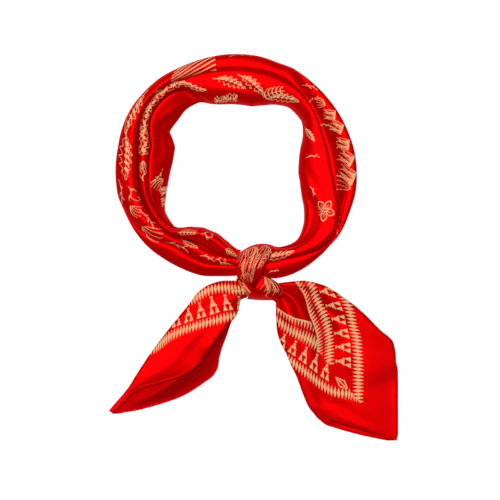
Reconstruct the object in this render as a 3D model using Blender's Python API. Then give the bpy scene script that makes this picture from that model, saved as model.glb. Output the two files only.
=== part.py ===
"""A silk square scarf, folded corner to corner into a soft band, tied once into a ring and laid flat.

Lengths in the tables are millimetres. The ring lies in the XY plane with the knot at its foot (-Y),
the two free corners spread below the knot, and everything rests on Z = 0.
"""

import math
from collections import namedtuple

import bmesh
import bpy
from mathutils import Vector

MM = 0.001
SEAM_GAP = 0.3          # left between pieces that touch
CUT_MARGIN = 0.05       # added to the gap where a piece is cut short of a wrap
CLOTH = 1.0             # wall of a single layer
RING_CENTRE = (-13.5, 67.0)

# ---------------------------------------------------------------- the ring
# The band is read in upright sections through the ring's centre. A turn of 0 degrees points at the
# knot (-Y), 90 at -X, 180 at +Y. Along it run four rolls between five lines, from the outer edge in.

Edge = namedtuple("Edge", "turn outer inner")
EDGES = (
    Edge(0, 90, 67.5), Edge(10, 92, 60), Edge(20, 95.5, 56), Edge(30, 97, 56.5), Edge(40, 99, 62),
    Edge(50, 101.5, 72.5), Edge(60, 103, 72), Edge(70, 104, 66.5), Edge(80, 105.5, 61.5),
    Edge(90, 105.5, 58.5), Edge(100, 105.5, 57), Edge(110, 106.5, 58), Edge(117, 107, 63.5),
    Edge(121, 107, 68.5), Edge(130, 106, 68.5), Edge(140, 105, 70), Edge(150, 103, 69),
    Edge(160, 102, 62.5), Edge(170, 101.5, 60), Edge(190, 101, 58.5), Edge(200, 100, 62),
    Edge(210, 101, 68), Edge(220, 100.5, 72), Edge(230, 100.5, 71.5), Edge(240, 101, 66),
    Edge(250, 101.5, 58.5), Edge(260, 102.5, 54.5), Edge(270, 103, 53), Edge(280, 103.5, 54.5),
    Edge(290, 103, 58.5), Edge(300, 103.5, 66), Edge(310, 102, 73.5), Edge(320, 101.5, 78),
    Edge(330, 100.5, 75), Edge(340, 98, 68), Edge(346, 94, 69.5), Edge(353, 91, 70.5),
)

# The creases between the rolls: how far in from the outer edge, or at what radius, and how high
# the bottom of the crease lies.
Crease = namedtuple("Crease", "turn place height")
OUTER_CREASE = (        # place is the inset from the outer edge
    Crease(0, 9, 9), Crease(15, 11, 9), Crease(25, 12.5, 9), Crease(40, 14.5, 9.5),
    Crease(50, 10, 9.5), Crease(58, 5.5, 7.5), Crease(66, 2.5, 5), Crease(80, 2, 4),
    Crease(300, 2, 4), Crease(340, 2.5, 5), Crease(353, 2.5, 5),
)
MAIN_CREASE = (
    Crease(0, 75, 10), Crease(15, 71.5, 7), Crease(25, 69, 6.5), Crease(32, 70.5, 6.5),
    Crease(40, 75.5, 8), Crease(50, 81, 12.5), Crease(62, 83.5, 12), Crease(75, 85, 7),
    Crease(95, 86, 6), Crease(105, 89, 6), Crease(115, 93, 6), Crease(130, 96.5, 6),
    Crease(140, 95.5, 6), Crease(150, 92.5, 8), Crease(165, 89.5, 12), Crease(180, 88, 12.5),
    Crease(210, 88, 12.5), Crease(220, 88.5, 11), Crease(230, 83.5, 8.5), Crease(240, 81, 9.5),
    Crease(252, 79, 12), Crease(274, 79, 12), Crease(281, 83.5, 8), Crease(290, 89.5, 5.5),
    Crease(297, 95, 5.5), Crease(305, 97, 8), Crease(312, 96, 10), Crease(320, 91.5, 10.5),
    Crease(332, 84.5, 10.5), Crease(340, 82, 9), Crease(353, 79, 8),
)
SECOND_CREASE = (
    Crease(0, 71, 5), Crease(10, 63.5, 4), Crease(20, 59.5, 3.5), Crease(30, 60, 3.5),
    Crease(40, 66, 4), Crease(50, 76, 5), Crease(60, 77, 8.5), Crease(75, 78.5, 7),
    Crease(90, 77, 6.5), Crease(105, 77.5, 6.5), Crease(115, 84, 7), Crease(122, 88, 7),
    Crease(130, 89.5, 7), Crease(140, 88, 7), Crease(147, 84.5, 6), Crease(153, 73, 4),
    Crease(160, 65.5, 3), Crease(170, 62.5, 3), Crease(190, 61.5, 3), Crease(200, 64.5, 3),
    Crease(210, 70, 3), Crease(220, 74, 3), Crease(230, 73, 3), Crease(240, 68, 3),
    Crease(250, 60.5, 3), Crease(260, 56.5, 3), Crease(270, 55, 3), Crease(280, 57, 4),
    Crease(288, 65, 8), Crease(295, 76, 9), Crease(303, 81.5, 9), Crease(310, 83, 10),
    Crease(320, 81.5, 8), Crease(330, 77.5, 5), Crease(340, 70.5, 4), Crease(346, 72, 4), Crease(353, 73, 4),
)

# How high each roll stands, from the outermost to the innermost.
Crest = namedtuple("Crest", "turn height")
OUTER_ROLL = (
    Crest(0, 12), Crest(40, 12.5), Crest(50, 11.5), Crest(58, 9), Crest(66, 6), Crest(80, 5),
    Crest(340, 5.5),
)
MAIN_ROLL = (
    Crest(0, 15), Crest(20, 15.5), Crest(40, 17), Crest(60, 17.5), Crest(150, 17), Crest(170, 15),
    Crest(220, 15), Crest(240, 15.5), Crest(275, 15.5), Crest(285, 13.5), Crest(300, 12),
    Crest(312, 13), Crest(325, 15), Crest(340, 15),
)
MIDDLE_ROLL = (
    Crest(0, 15), Crest(30, 15.5), Crest(50, 16), Crest(62, 15), Crest(80, 13.5), Crest(147, 13.5),
    Crest(156, 16), Crest(170, 17.5), Crest(280, 17.5), Crest(340, 17),
)
INNER_ROLL = (
    Crest(0, 5.5), Crest(50, 6.5), Crest(60, 11.5), Crest(80, 12.5), Crest(140, 12), Crest(148, 8),
    Crest(156, 4.5), Crest(275, 4.5), Crest(284, 8), Crest(295, 13), Crest(310, 13),
    Crest(320, 10.5), Crest(330, 6.5), Crest(340, 5.5),
)
# The side of the band bulges furthest at these heights.
OUTER_BULGE = (Crest(0, 5), Crest(50, 5), Crest(66, 3), Crest(340, 3))
INNER_BULGE = (
    Crest(0, 2.5), Crest(52, 2.5), Crest(62, 5), Crest(145, 5), Crest(156, 2.2), Crest(280, 2.2),
    Crest(295, 5), Crest(312, 5), Crest(325, 2.5), Crest(340, 2.5),
)

Stretch = namedtuple("Stretch", "name start end")
STRETCHES = (
    Stretch("ring_lower_left", -2.0, 60.0),
    Stretch("ring_left", 60.0, 146.0),
    Stretch("ring_top", 146.0, 222.0),
    Stretch("ring_right", 222.0, 296.0),
    Stretch("ring_lower_right", 296.0, 352.0),
)
STATION_STEP = 5.5      # degrees between sections
ROLL_STEPS = (2, 7, 7, 4)
FOOT_INSET = 3.5        # the underside starts this far in from the bulge
FOOT_STEPS = 2
BAND_MIDDLE = 75.0      # radius along which the gaps between stretches are measured
ROLL_FULLNESS = 0.8     # under 1 makes a roll fuller than a sine wave
CREST_OVER_CREASE = 0.2 # least height of a roll over the creases beside it

# ---------------------------------------------------------------- the knot
# Each wrap is a rounded lump: rows run from its head to its foot, each from its left edge to its
# right edge, with the height of its middle and of its two edges.

Wrap = namedtuple("Wrap", "left_x left_y right_x right_y bow crest left_edge right_edge")
OVER_WRAP = (
    Wrap(-8.5, -1.0, 17.5, 2.5, 3.4, 10, 6, 5),
    Wrap(-12.5, -4.0, 19.0, -0.5, 2.4, 20, 11, 9),
    Wrap(-14.3, -10.0, 15.5, -6.5, 1.2, 25.5, 14, 12),
    Wrap(-14.9, -16.5, 11.0, -13.5, 0.0, 27, 15, 14),
    Wrap(-14.4, -22.5, 8.3, -19.5, -0.6, 25, 14, 15),
    Wrap(-12.2, -27.0, 6.2, -25.0, -0.8, 20.5, 12, 14),
    Wrap(-7.4, -29.8, 4.6, -28.5, -0.6, 15.5, 9, 12),
    Wrap(-2.0, -31.6, 3.2, -31.0, 0.0, 10.5, 7, 9),
)
CROSS_WRAP = (
    Wrap(7.6, -22.6, 10.4, -22.9, 0.0, 17, 16, 15),
    Wrap(4.8, -27.8, 16.0, -26.2, 0.6, 19, 18, 13),
    Wrap(1.9, -32.8, 21.8, -30.4, 0.6, 19.5, 18, 12),
    Wrap(-0.8, -37.3, 25.3, -36.3, 0.0, 18, 16, 11),
    Wrap(-4.4, -41.0, 24.2, -41.3, -0.4, 13.5, 10, 9),
    Wrap(-5.6, -43.2, 20.6, -44.0, -0.4, 7, 5, 5),
)
SIDE_ROLL = (
    Wrap(-14.6, -25.6, -6.0, -25.0, 0.0, 13.5, 7, 4.5),
    Wrap(-13.6, -31.4, 0.0, -27.5, 0.0, 14, 7.5, 4.5),
    Wrap(-10.4, -37.2, 3.5, -32.0, 0.0, 13.5, 7.5, 4.5),
    Wrap(-5.6, -41.0, 5.0, -37.4, 0.0, 11.5, 6.5, 4.5),
)
OVER_PLEATS = 6
OVER_PLEAT_HEIGHT = 1.4
CROSS_PLEATS = 4
CROSS_PLEAT_HEIGHT = 0.7
POINTS_PER_PLEAT = 4
WRAP_FOOT_INSET = 0.8   # a wrap's foot on the floor is this much smaller all round
SIDE_ROLL_SHARE = 0.6   # the rolled part of the side roll's width

# ---------------------------------------------------------------- the left free corner
# Rows run from the knot to the tip. The cloth starts at the back edge, lies flat to the fold along
# the outer side, turns over it and comes back as the front panel. The curl is what turns under at
# the front edge. Past the front panel only a narrow lip of it goes on to the tip.

LeftRow = namedtuple("LeftRow", "fold_x fold_y front_x front_y back_x back_y crest nose lip curl")
LEFT_ROWS = (
    LeftRow(-9.0, -29.0, -6.5, -41.0, -5.5, -42.0, 11, 6.0, 6.0, 3.0),
    LeftRow(-15.0, -27.5, -11.5, -44.5, -11.0, -44.5, 13, 7.0, 6.0, 4.0),
    LeftRow(-25.5, -27.5, -12.5, -50.5, -12.5, -49.5, 13.5, 7.5, 6.0, 4.5),
    LeftRow(-36.0, -30.0, -15.0, -57.5, -15.0, -56.5, 13, 7.5, 6.0, 5.0),
    LeftRow(-46.5, -36.0, -21.5, -65.0, -19.5, -64.5, 12, 7.0, 6.0, 5.0),
    LeftRow(-58.0, -50.5, -29.0, -74.5, -23.0, -75.0, 11, 6.5, 6.5, 4.0),
    LeftRow(-69.0, -64.0, -36.0, -83.5, -27.5, -87.0, 10, 6.0, 7.5, 2.5),
    LeftRow(-78.5, -76.0, -44.0, -93.0, -30.0, -96.5, 8.5, 5.5, 6.5, 0.5),
    LeftRow(-88.0, -89.0, -52.0, -102.0, -35.0, -108.0, 7, 4.8, 5.0, 0.0),
    LeftRow(-95.5, -100.5, -63.0, -108.5, -45.0, -116.0, 5.6, 4.2, 4.0, 0.0),
    LeftRow(-102.0, -110.5, -78.0, -113.5, -62.0, -126.5, 4.2, 3.6, 3.4, 0.0),
    LeftRow(-108.0, -119.5, -99.0, -120.0, -83.0, -134.0, 3.2, 2.6, 2.9, 0.0),
    LeftRow(-113.0, -126.0, -108.6, -127.0, -102.0, -139.0, 2.8, 2.2, 2.6, 0.0),
    LeftRow(-119.6, -133.4, -116.0, -135.2, -113.6, -141.0, 2.5, 2.0, 2.4, 0.0),
    LeftRow(-125.6, -140.6, -122.8, -142.2, -122.2, -143.2, 2.4, 1.9, 2.3, 0.0),
)

# ---------------------------------------------------------------- the right free corner
# Rows run from the knot to the tip, across from the left outline to the right one. The cloth turns
# under at both outlines where a flap is given. A fold runs down the middle: the left panel ends in
# a rolled edge that stands over the right panel.

RightRow = namedtuple(
    "RightRow",
    "left_x left_y right_x right_y fold left_flap right_flap roll hollow ridge valley panel crest",
)
RIGHT_ROWS = (
    RightRow(12.5, -42.0, 22.0, -29.5, 0.60, 3.0, 3.0, 9.0, 7.0, 11.0, 6.5, 8.0, 8.0),
    RightRow(19.5, -47.0, 31.0, -28.5, 0.60, 4.0, 4.0, 11.0, 7.0, 13.0, 7.0, 9.5, 9.5),
    RightRow(19.5, -56.5, 43.0, -27.5, 0.62, 6.0, 6.0, 11.0, 6.0, 13.0, 5.5, 9.0, 9.5),
    RightRow(20.5, -70.5, 59.5, -31.0, 0.57, 9.0, 9.0, 10.0, 6.5, 11.5, 4.5, 8.0, 8.5),
    RightRow(24.0, -82.0, 78.0, -42.0, 0.48, 12.0, 13.0, 8.5, 7.0, 10.0, 4.0, 6.5, 7.5),
    RightRow(28.5, -90.5, 94.5, -55.0, 0.41, 15.0, 17.0, 7.5, 6.5, 8.5, 3.5, 5.0, 6.5),
    RightRow(32.5, -100.0, 109.0, -69.5, 0.315, 17.0, 13.0, 6.5, 5.5, 7.0, 3.5, 4.0, 5.0),
    RightRow(38.0, -111.5, 121.0, -82.5, 0.25, 17.0, 2.5, 5.5, 4.8, 5.0, 3.4, 3.0, 3.2),
    RightRow(43.0, -125.5, 124.2, -98.5, 0.22, 14.0, 0.0, 4.5, 3.6, 3.4, 2.8, 2.6, 2.4),
    RightRow(48.0, -137.0, 124.4, -114.5, 0.22, 6.0, 0.0, 3.6, 2.8, 2.4, 2.0, 2.2, 1.0),
    RightRow(52.0, -142.5, 124.4, -121.5, 0.23, 2.6, 0.0, 2.9, 2.6, 2.3, 1.7, 2.2, 0.9),
    RightRow(58.5, -149.5, 124.4, -131.5, 0.24, 0.0, 0.0, 2.0, 2.2, 2.2, 1.4, 2.2, 0.9),
    RightRow(75.5, -155.5, 124.4, -144.5, 0.27, 0.0, 0.0, 0.9, 1.6, 2.0, 2.2, 1.6, 0.8),
    RightRow(98.0, -161.4, 124.4, -156.0, 0.32, 0.0, 0.0, 0.8, 0.9, 1.6, 1.5, 1.1, 0.7),
    RightRow(115.0, -164.8, 124.4, -163.6, 0.40, 0.0, 0.0, 0.6, 0.7, 0.9, 0.8, 0.7, 0.6),
    RightRow(122.6, -166.3, 124.4, -166.6, 0.50, 0.0, 0.0, 0.5, 0.5, 0.5, 0.5, 0.5, 0.5),
)

# The front edge of the left corner: ahead of the front line, and up from the lip's height. The last
# two points are pushed back by the curl.
Lip = namedtuple("Lip", "ahead up")
LIP = (Lip(-2.2, 0.9), Lip(0.0, -0.5), Lip(-1.7, -2.6), Lip(-1.7, -2.9))
LONGEST_LEAD = 2.0      # of the panel that runs level up to the lip

LEAST_TURN = 3.5        # a narrower flap ends part of the way round the fold
ROWS_PER_GAP = 2        # sections made between two rows of a corner's table
POINTS_PER_GAP = 1      # points made between two named points of a section

# the table rows where the hems start
LEFT_HEM_FROM = 7
SIDE_HEM_FROM = 8
END_HEM_FROM = 11
HEM_RADIUS = 0.95
HEM_SIDES = 8
HEM_OFF_FLOOR = 0.05


# ---------------------------------------------------------------- tools


class Fair:
    """A smooth line through (place, value) pairs that never swings past them."""

    def __init__(self, places, values):
        self.places = [float(p) for p in places]
        self.values = [float(v) for v in values]
        gaps = [b - a for a, b in zip(self.places, self.places[1:])]
        rises = [(b - a) / g for a, b, g in zip(self.values, self.values[1:], gaps)]
        self.slopes = [rises[0]]
        for before, after, gap_before, gap_after in zip(rises, rises[1:], gaps, gaps[1:]):
            if before * after <= 0.0:
                self.slopes.append(0.0)
            else:
                near, far = 2 * gap_after + gap_before, gap_after + 2 * gap_before
                self.slopes.append((near + far) / (near / before + far / after))
        self.slopes.append(rises[-1])

    def __call__(self, at):
        at = min(max(at, self.places[0]), self.places[-1])
        i = 0
        while i < len(self.places) - 2 and at > self.places[i + 1]:
            i += 1
        gap = self.places[i + 1] - self.places[i]
        t = (at - self.places[i]) / gap
        a, b = self.values[i], self.values[i + 1]
        sa, sb = self.slopes[i] * gap, self.slopes[i + 1] * gap
        return a + t * (sa + t * (3 * (b - a) - 2 * sa - sb + t * (2 * (a - b) + sa + sb)))


def column(table, name, at="turn"):
    """One column of a table as a smooth line over another."""
    return Fair([getattr(row, at) for row in table], [getattr(row, name) for row in table])


def rows_between(table, count):
    """The table's rows with smoothly worked out rows between them, count to each gap."""
    kind = type(table[0])
    places = range(len(table))
    lines = [Fair(places, [row[i] for row in table]) for i in range(len(kind._fields))]
    steps = (len(table) - 1) * count
    return [kind(*(line(i / count) for line in lines)) for i in range(steps + 1)]


def spline(points, count):
    """Points on a curve through the given ones, count to each gap, with both ends kept."""
    ends = [points[0] * 2 - points[1]] + list(points) + [points[-1] * 2 - points[-2]]
    found = []
    for before, a, b, after in zip(ends, ends[1:], ends[2:], ends[3:]):
        for step in range(count):
            t = step / count
            found.append(
                (a * 2 + (b - before) * t + (before * 2 - a * 5 + b * 4 - after) * t * t
                 + (a * 3 - before - b * 3 + after) * t * t * t) / 2
            )
    return found + [points[-1]]


def shortened(path, keep):
    """The path's own number of points less one, evenly along it, with only this share of what
    lies past its first stretch kept."""
    pairs = list(zip(path, path[1:]))
    lengths = [math.dist(a, b) for a, b in pairs]
    total = lengths[0] + keep * sum(lengths[1:])
    found = []
    for step in range(1, len(path)):
        left = total * step / (len(path) - 1)
        for (a, b), length in zip(pairs, lengths):
            if left <= length or b == path[-1]:
                part = left / length
                found.append((a[0] + (b[0] - a[0]) * part, a[1] + (b[1] - a[1]) * part))
                break
            left -= length
    return found


def material(name, colour, roughness, sheen):
    made = bpy.data.materials.new(name)
    made.use_nodes = True
    made.diffuse_color = colour
    shader = made.node_tree.nodes["Principled BSDF"]
    shader.inputs["Base Color"].default_value = colour
    shader.inputs["Roughness"].default_value = roughness
    shader.inputs["Metallic"].default_value = 0.0
    shader.inputs["Sheen Weight"].default_value = sheen
    return made


def add_object(name, shape, finish):
    """An object from a bmesh in millimetres, with its faces turned out."""
    bmesh.ops.recalc_face_normals(shape, faces=shape.faces)
    bmesh.ops.scale(shape, vec=(MM, MM, MM), verts=shape.verts)
    mesh = bpy.data.meshes.new(name)
    shape.to_mesh(mesh)
    shape.free()
    mesh.materials.append(finish)
    mesh.shade_smooth()
    mesh.set_sharp_from_angle(angle=math.radians(50))
    made = bpy.data.objects.new(name, mesh)
    bpy.context.scene.collection.objects.link(made)
    return made


def tube_faces(shape, rings):
    """Quads between closed rings of points, with both ends filled."""
    made = [[shape.verts.new(point) for point in ring] for ring in rings]
    count = len(made[0])
    for near, far in zip(made, made[1:]):
        for i in range(count):
            j = (i + 1) % count
            shape.faces.new((near[i], near[j], far[j], far[i]))
    shape.faces.new(made[0])
    shape.faces.new(list(reversed(made[-1])))


# ---------------------------------------------------------------- ring


RING_LINES = {
    "outer": column(EDGES, "outer"),
    "inner": column(EDGES, "inner"),
    "outer_inset": column(OUTER_CREASE, "place"),
    "outer_low": column(OUTER_CREASE, "height"),
    "main": column(MAIN_CREASE, "place"),
    "main_low": column(MAIN_CREASE, "height"),
    "second": column(SECOND_CREASE, "place"),
    "second_low": column(SECOND_CREASE, "height"),
    "outer_bulge": column(OUTER_BULGE, "height"),
    "inner_bulge": column(INNER_BULGE, "height"),
}
RING_CRESTS = [column(t, "height") for t in (OUTER_ROLL, MAIN_ROLL, MIDDLE_ROLL, INNER_ROLL)]


def ring_profile(turn):
    """(radius, height) pairs once round the section at this turn, over the top and back below."""
    at = {name: line(turn) for name, line in RING_LINES.items()}
    bounds = (
        (at["outer"], at["outer_bulge"]),
        (at["outer"] - at["outer_inset"], at["outer_low"]),
        (at["main"], at["main_low"]),
        (at["second"], at["second_low"]),
        (at["inner"], at["inner_bulge"]),
    )
    found = [bounds[0]]
    for (a, low_a), (b, low_b), crest, steps in zip(bounds, bounds[1:], RING_CRESTS, ROLL_STEPS):
        top = max(crest(turn), max(low_a, low_b) + CREST_OVER_CREASE)
        for step in range(1, steps + 1):
            part = step / steps
            across = (1 - math.cos(math.pi * part)) / 2
            low = low_a + (low_b - low_a) * across
            swell = math.sin(math.pi * part) ** ROLL_FULLNESS
            found.append((a + (b - a) * across, low + (top - low) * swell))
    inner, outer = bounds[-1], bounds[0]
    for step in range(1, FOOT_STEPS + 1):
        swing = math.pi / 2 * step / FOOT_STEPS
        found.append((inner[0] + FOOT_INSET * (1 - math.cos(swing)), inner[1] * (1 - math.sin(swing))))
    for step in range(FOOT_STEPS, 0, -1):
        swing = math.pi / 2 * step / FOOT_STEPS
        found.append((outer[0] - FOOT_INSET * (1 - math.cos(swing)), outer[1] * (1 - math.sin(swing))))
    return found


def ring_point(turn, radius, height):
    swing = math.radians(turn)
    return Vector((
        RING_CENTRE[0] - radius * math.sin(swing),
        RING_CENTRE[1] - radius * math.cos(swing),
        height,
    ))


def ring_stretch(stretch, finish):
    """One stretch of the folded band, parted from the next by half the seam gap."""
    half_gap = math.degrees(SEAM_GAP / 2 / BAND_MIDDLE)
    start = stretch.start + half_gap
    end = stretch.end - half_gap
    count = max(2, round((end - start) / STATION_STEP))
    turns = [start + (end - start) * i / count for i in range(count + 1)]
    shape = bmesh.new()
    tube_faces(shape, [[ring_point(turn, r, z) for r, z in ring_profile(turn)] for turn in turns])
    return add_object(stretch.name, shape, finish)


# ---------------------------------------------------------------- knot


def wrap_rows(table, gaps_along, gaps_across, pleats, pleat_height, profile):
    """The top of a wrap as rows of points."""
    made = []
    for i, row in enumerate(rows_between(table, gaps_along)):
        along = i / ((len(table) - 1) * gaps_along)
        left = Vector((row.left_x, row.left_y, 0))
        right = Vector((row.right_x, row.right_y, 0))
        points = []
        for j in range(gaps_across + 1):
            u = j / gaps_across
            place = left.lerp(right, u)
            place.y += row.bow * 4 * u * (1 - u)
            edge = row.left_edge + (row.right_edge - row.left_edge) * u
            place.z = edge + (row.crest - edge) * profile(u)
            if pleats:
                fade = math.sin(math.pi * min(max(along, 0.06), 0.92)) ** 0.5
                place.z += pleat_height * fade * (abs(math.sin(math.pi * pleats * u)) ** 0.7 - 0.4)
            points.append(place)
        made.append(points)
    return made


def dome(u):
    return (4 * u * (1 - u)) ** 0.55


def crisp_left_dome(u):
    """High from the left edge on, falling away to the right."""
    return math.sin(math.pi * min(1.0, 0.12 + 0.88 * u)) ** 0.5


def side_roll_profile(u):
    """A roll along the left edge and a low floor beside it, up to the next wraps."""
    if u < SIDE_ROLL_SHARE:
        return math.sin(math.pi * u / SIDE_ROLL_SHARE) ** 0.7
    return 0.0


def lump(name, rows, finish, grow=0.0):
    """A closed body under a top surface: its rim falls to a slightly smaller flat foot at Z = 0."""
    shape = bmesh.new()
    grid = [[shape.verts.new(point) for point in row] for row in rows]
    for near, far in zip(grid, grid[1:]):
        for j in range(len(near) - 1):
            shape.faces.new((near[j], near[j + 1], far[j + 1], far[j]))
    rim = grid[0] + [row[-1] for row in grid[1:-1]] + grid[-1][::-1]
    rim += [row[0] for row in grid[-2:0:-1]]
    middle = sum((v.co for v in rim), Vector()) / len(rim)
    middle.z = 0
    foot = []
    for vert in rim:
        inward = Vector((middle.x - vert.co.x, middle.y - vert.co.y, 0)).normalized()
        place = vert.co + inward * WRAP_FOOT_INSET
        place.z = 0
        foot.append(shape.verts.new(place))
    count = len(rim)
    for i in range(count):
        j = (i + 1) % count
        shape.faces.new((rim[i], rim[j], foot[j], foot[i]))
    shape.faces.new(foot)
    if grow:
        bmesh.ops.recalc_face_normals(shape, faces=shape.faces)
        shape.normal_update()
        moves = [(v, v.normal * grow * v.calc_shell_factor()) for v in shape.verts]
        for vert, move in moves:
            vert.co += move
    return add_object(name, shape, finish)


def cut_clear(piece, cutters):
    """Takes the cutters out of a piece, so that it ends just short of them."""
    for cutter in cutters:
        cut = piece.modifiers.new("clear_of_" + cutter.name, "BOOLEAN")
        cut.operation = "DIFFERENCE"
        cut.solver = "EXACT"
        cut.object = cutter


def helper(piece):
    piece.hide_render = True
    piece.display_type = "WIRE"
    return piece


def knot(finish):
    """The three wraps, and grown copies of them that keep the other pieces clear."""
    over = wrap_rows(OVER_WRAP, 2, POINTS_PER_PLEAT * OVER_PLEATS, OVER_PLEATS, OVER_PLEAT_HEIGHT, dome)
    cross = wrap_rows(
        CROSS_WRAP, 2, POINTS_PER_PLEAT * CROSS_PLEATS, CROSS_PLEATS, CROSS_PLEAT_HEIGHT, crisp_left_dome
    )
    side = wrap_rows(SIDE_ROLL, 3, 12, 0, 0, side_roll_profile)
    over_clear = helper(lump("over_wrap_clearance", over, finish, grow=SEAM_GAP + CUT_MARGIN))
    cross_clear = helper(lump("cross_wrap_clearance", cross, finish, grow=SEAM_GAP + CUT_MARGIN))
    side_clear = helper(lump("side_roll_clearance", side, finish, grow=SEAM_GAP + CUT_MARGIN))
    lump("knot_over_wrap", over, finish)
    cross_wrap = lump("knot_cross_wrap", cross, finish)
    side_roll = lump("knot_side_roll", side, finish)
    cut_clear(cross_wrap, [over_clear])
    cut_clear(side_roll, [over_clear, cross_clear])
    return over_clear, cross_clear, side_clear


# ---------------------------------------------------------------- free corners


def section_left(row):
    """The left corner's section: back edge, back layer, fold, front panel, lip and curl."""
    back = Vector((row.back_x, row.back_y, 0))
    fold = Vector((row.fold_x, row.fold_y, 0))
    front = Vector((row.front_x, row.front_y, 0))
    low = CLOTH / 2
    inward = (back - fold).normalized()
    over = (front - fold).normalized()
    reach = (front - fold).length
    depth = (back - fold).length
    top = low + row.nose
    bend = min(row.nose * 0.55, reach * 0.35, depth * 0.3)
    start = bend * 0.9
    panel = reach - start
    turned = min(1.0, row.curl / LEAST_TURN)
    lead = min(LONGEST_LEAD, 0.2 * panel)
    curl = max(row.curl, LEAST_TURN)
    lip = [(point.ahead, point.up) for point in LIP[:-1]] + [(LIP[-1].ahead - curl, LIP[-1].up)]
    if turned < 1.0:
        rest = 1 - turned
        lip = shortened([(LIP[0].ahead - lead, LIP[0].up)] + lip, turned)
        lip = [(x - LIP[0].ahead * rest, z - LIP[0].up * rest) for x, z in lip]

    def at(base, direction, distance, height):
        return base + direction * distance + Vector((0, 0, height))

    points = [
        at(back, inward, 0, low),
        at(fold, inward, bend * 1.5 + (depth - bend * 1.5) * 0.66, low),
        at(fold, inward, bend * 1.5 + (depth - bend * 1.5) * 0.33, low),
        at(fold, inward, bend * 1.5, low),
        at(fold, inward, bend * 0.35, low + row.nose * 0.16),
        at(fold, inward, 0.0, low + row.nose * 0.5),
        at(fold, over, bend * 0.4, top - row.nose * 0.12),
        at(fold, over, start + panel * 0.14, top + (row.crest - top) * 0.35),
        at(fold, over, start + panel * 0.42, max(row.crest, top)),
        at(fold, over, start + panel * 0.72, row.crest * 0.7 + row.lip * 0.3),
    ]
    points += [at(front, over, x, row.lip + z) for x, z in lip]
    across = (inward + over).normalized()
    return points, Vector((-across.y, across.x, 0))


def section_right(row):
    """The right corner's section: flap, left roll, hollow, ridge, undercut, right panel, flap."""
    left = Vector((row.left_x, row.left_y, 0))
    right = Vector((row.right_x, row.right_y, 0))
    width = (right - left).length
    across = (right - left) / width
    low = CLOTH / 2
    edge = row.fold * width
    # a rolled edge stands over the right panel only where the ridge is well above the valley
    over = min(1.0, max(0.0, (row.ridge - row.valley - 1.0) / 3.0))
    small = min(1.0, width / 40.0)

    def at(distance, height):
        return left + across * distance + Vector((0, 0, max(height, low)))

    def turned_under(flap, top, sign, start):
        """Flap end, flap middle, nose and shoulder, or as much of them as the flap has."""
        rise = top - low
        bend = min(rise * 0.5, 2.2)
        full = max(flap, LEAST_TURN)
        path = [
            (3.2 * small + bend * 0.45, rise), (bend * 0.45, rise * 0.88), (0.0, rise * 0.5),
            (bend * 0.3, rise * 0.16), (max(full * 0.5, bend * 1.1), 0.0), (full, 0.0),
        ]
        if flap < LEAST_TURN:
            path = shortened(path, flap / LEAST_TURN)
        else:
            path = path[1:]
        return [at(start + sign * x, low + z) for x, z in reversed(path)]

    drop = row.ridge - row.valley
    points = turned_under(row.left_flap, row.roll, 1, 0.0)
    points += [
        at(max(6.0 * small, 0.25 * edge), row.roll),
        at(0.55 * edge, row.hollow),
        at(0.82 * edge, row.ridge),
        at(edge - 0.3 * small, row.ridge - drop * 0.35),
        at(edge + (0.9 - 1.2 * over) * small, row.valley + drop * 0.28),
        at(edge + 2.6 * small, row.valley),
        at(edge + (width - edge) * 0.45, row.panel),
        at(width - max(6.0 * small, 0.10 * width), row.crest),
    ]
    points += reversed(turned_under(row.right_flap, row.crest, -1, width))
    return points, Vector((-across.y, across.x, 0))


def wall_normals(row, along):
    """Directions square to one section's line of points, within the section's upright plane."""
    found = []
    last = len(row) - 1
    for j in range(last + 1):
        across = row[min(j + 1, last)] - row[max(j - 1, 0)]
        found.append(along.cross(across).normalized())
    return found


def cloth_wall(name, sections, finish):
    """A wall of cloth half a thickness to each side of its sections, flat where it meets Z = 0."""
    shape = bmesh.new()
    sheets = []
    for side in (1, -1):
        sheet = []
        for row, along in sections:
            places = [p + n * (side * CLOTH / 2) for p, n in zip(row, wall_normals(row, along))]
            sheet.append([shape.verts.new((p.x, p.y, max(p.z, 0.0))) for p in places])
        sheets.append(sheet)
    for sheet in sheets:
        for near, far in zip(sheet, sheet[1:]):
            for j in range(len(near) - 1):
                shape.faces.new((near[j], near[j + 1], far[j + 1], far[j]))

    def rim(sheet):
        loop = sheet[0] + [row[-1] for row in sheet[1:-1]] + sheet[-1][::-1]
        return loop + [row[0] for row in sheet[-2:0:-1]]

    one, other = rim(sheets[0]), rim(sheets[1])
    for i in range(len(one)):
        j = (i + 1) % len(one)
        shape.faces.new((one[i], one[j], other[j], other[i]))
    return add_object(name, shape, finish)


def left_rows():
    """The left corner's sections, each a line of points with the direction along the cloth."""
    found = []
    for row in rows_between(LEFT_ROWS, ROWS_PER_GAP):
        points, along = section_left(row)
        found.append((spline(points, POINTS_PER_GAP), along))
    return found


def right_rows():
    """The right corner's sections."""
    found = []
    for row in rows_between(RIGHT_ROWS, ROWS_PER_GAP):
        points, along = section_right(row)
        found.append((spline(points, POINTS_PER_GAP), along))
    return found


# ---------------------------------------------------------------- hems


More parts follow.
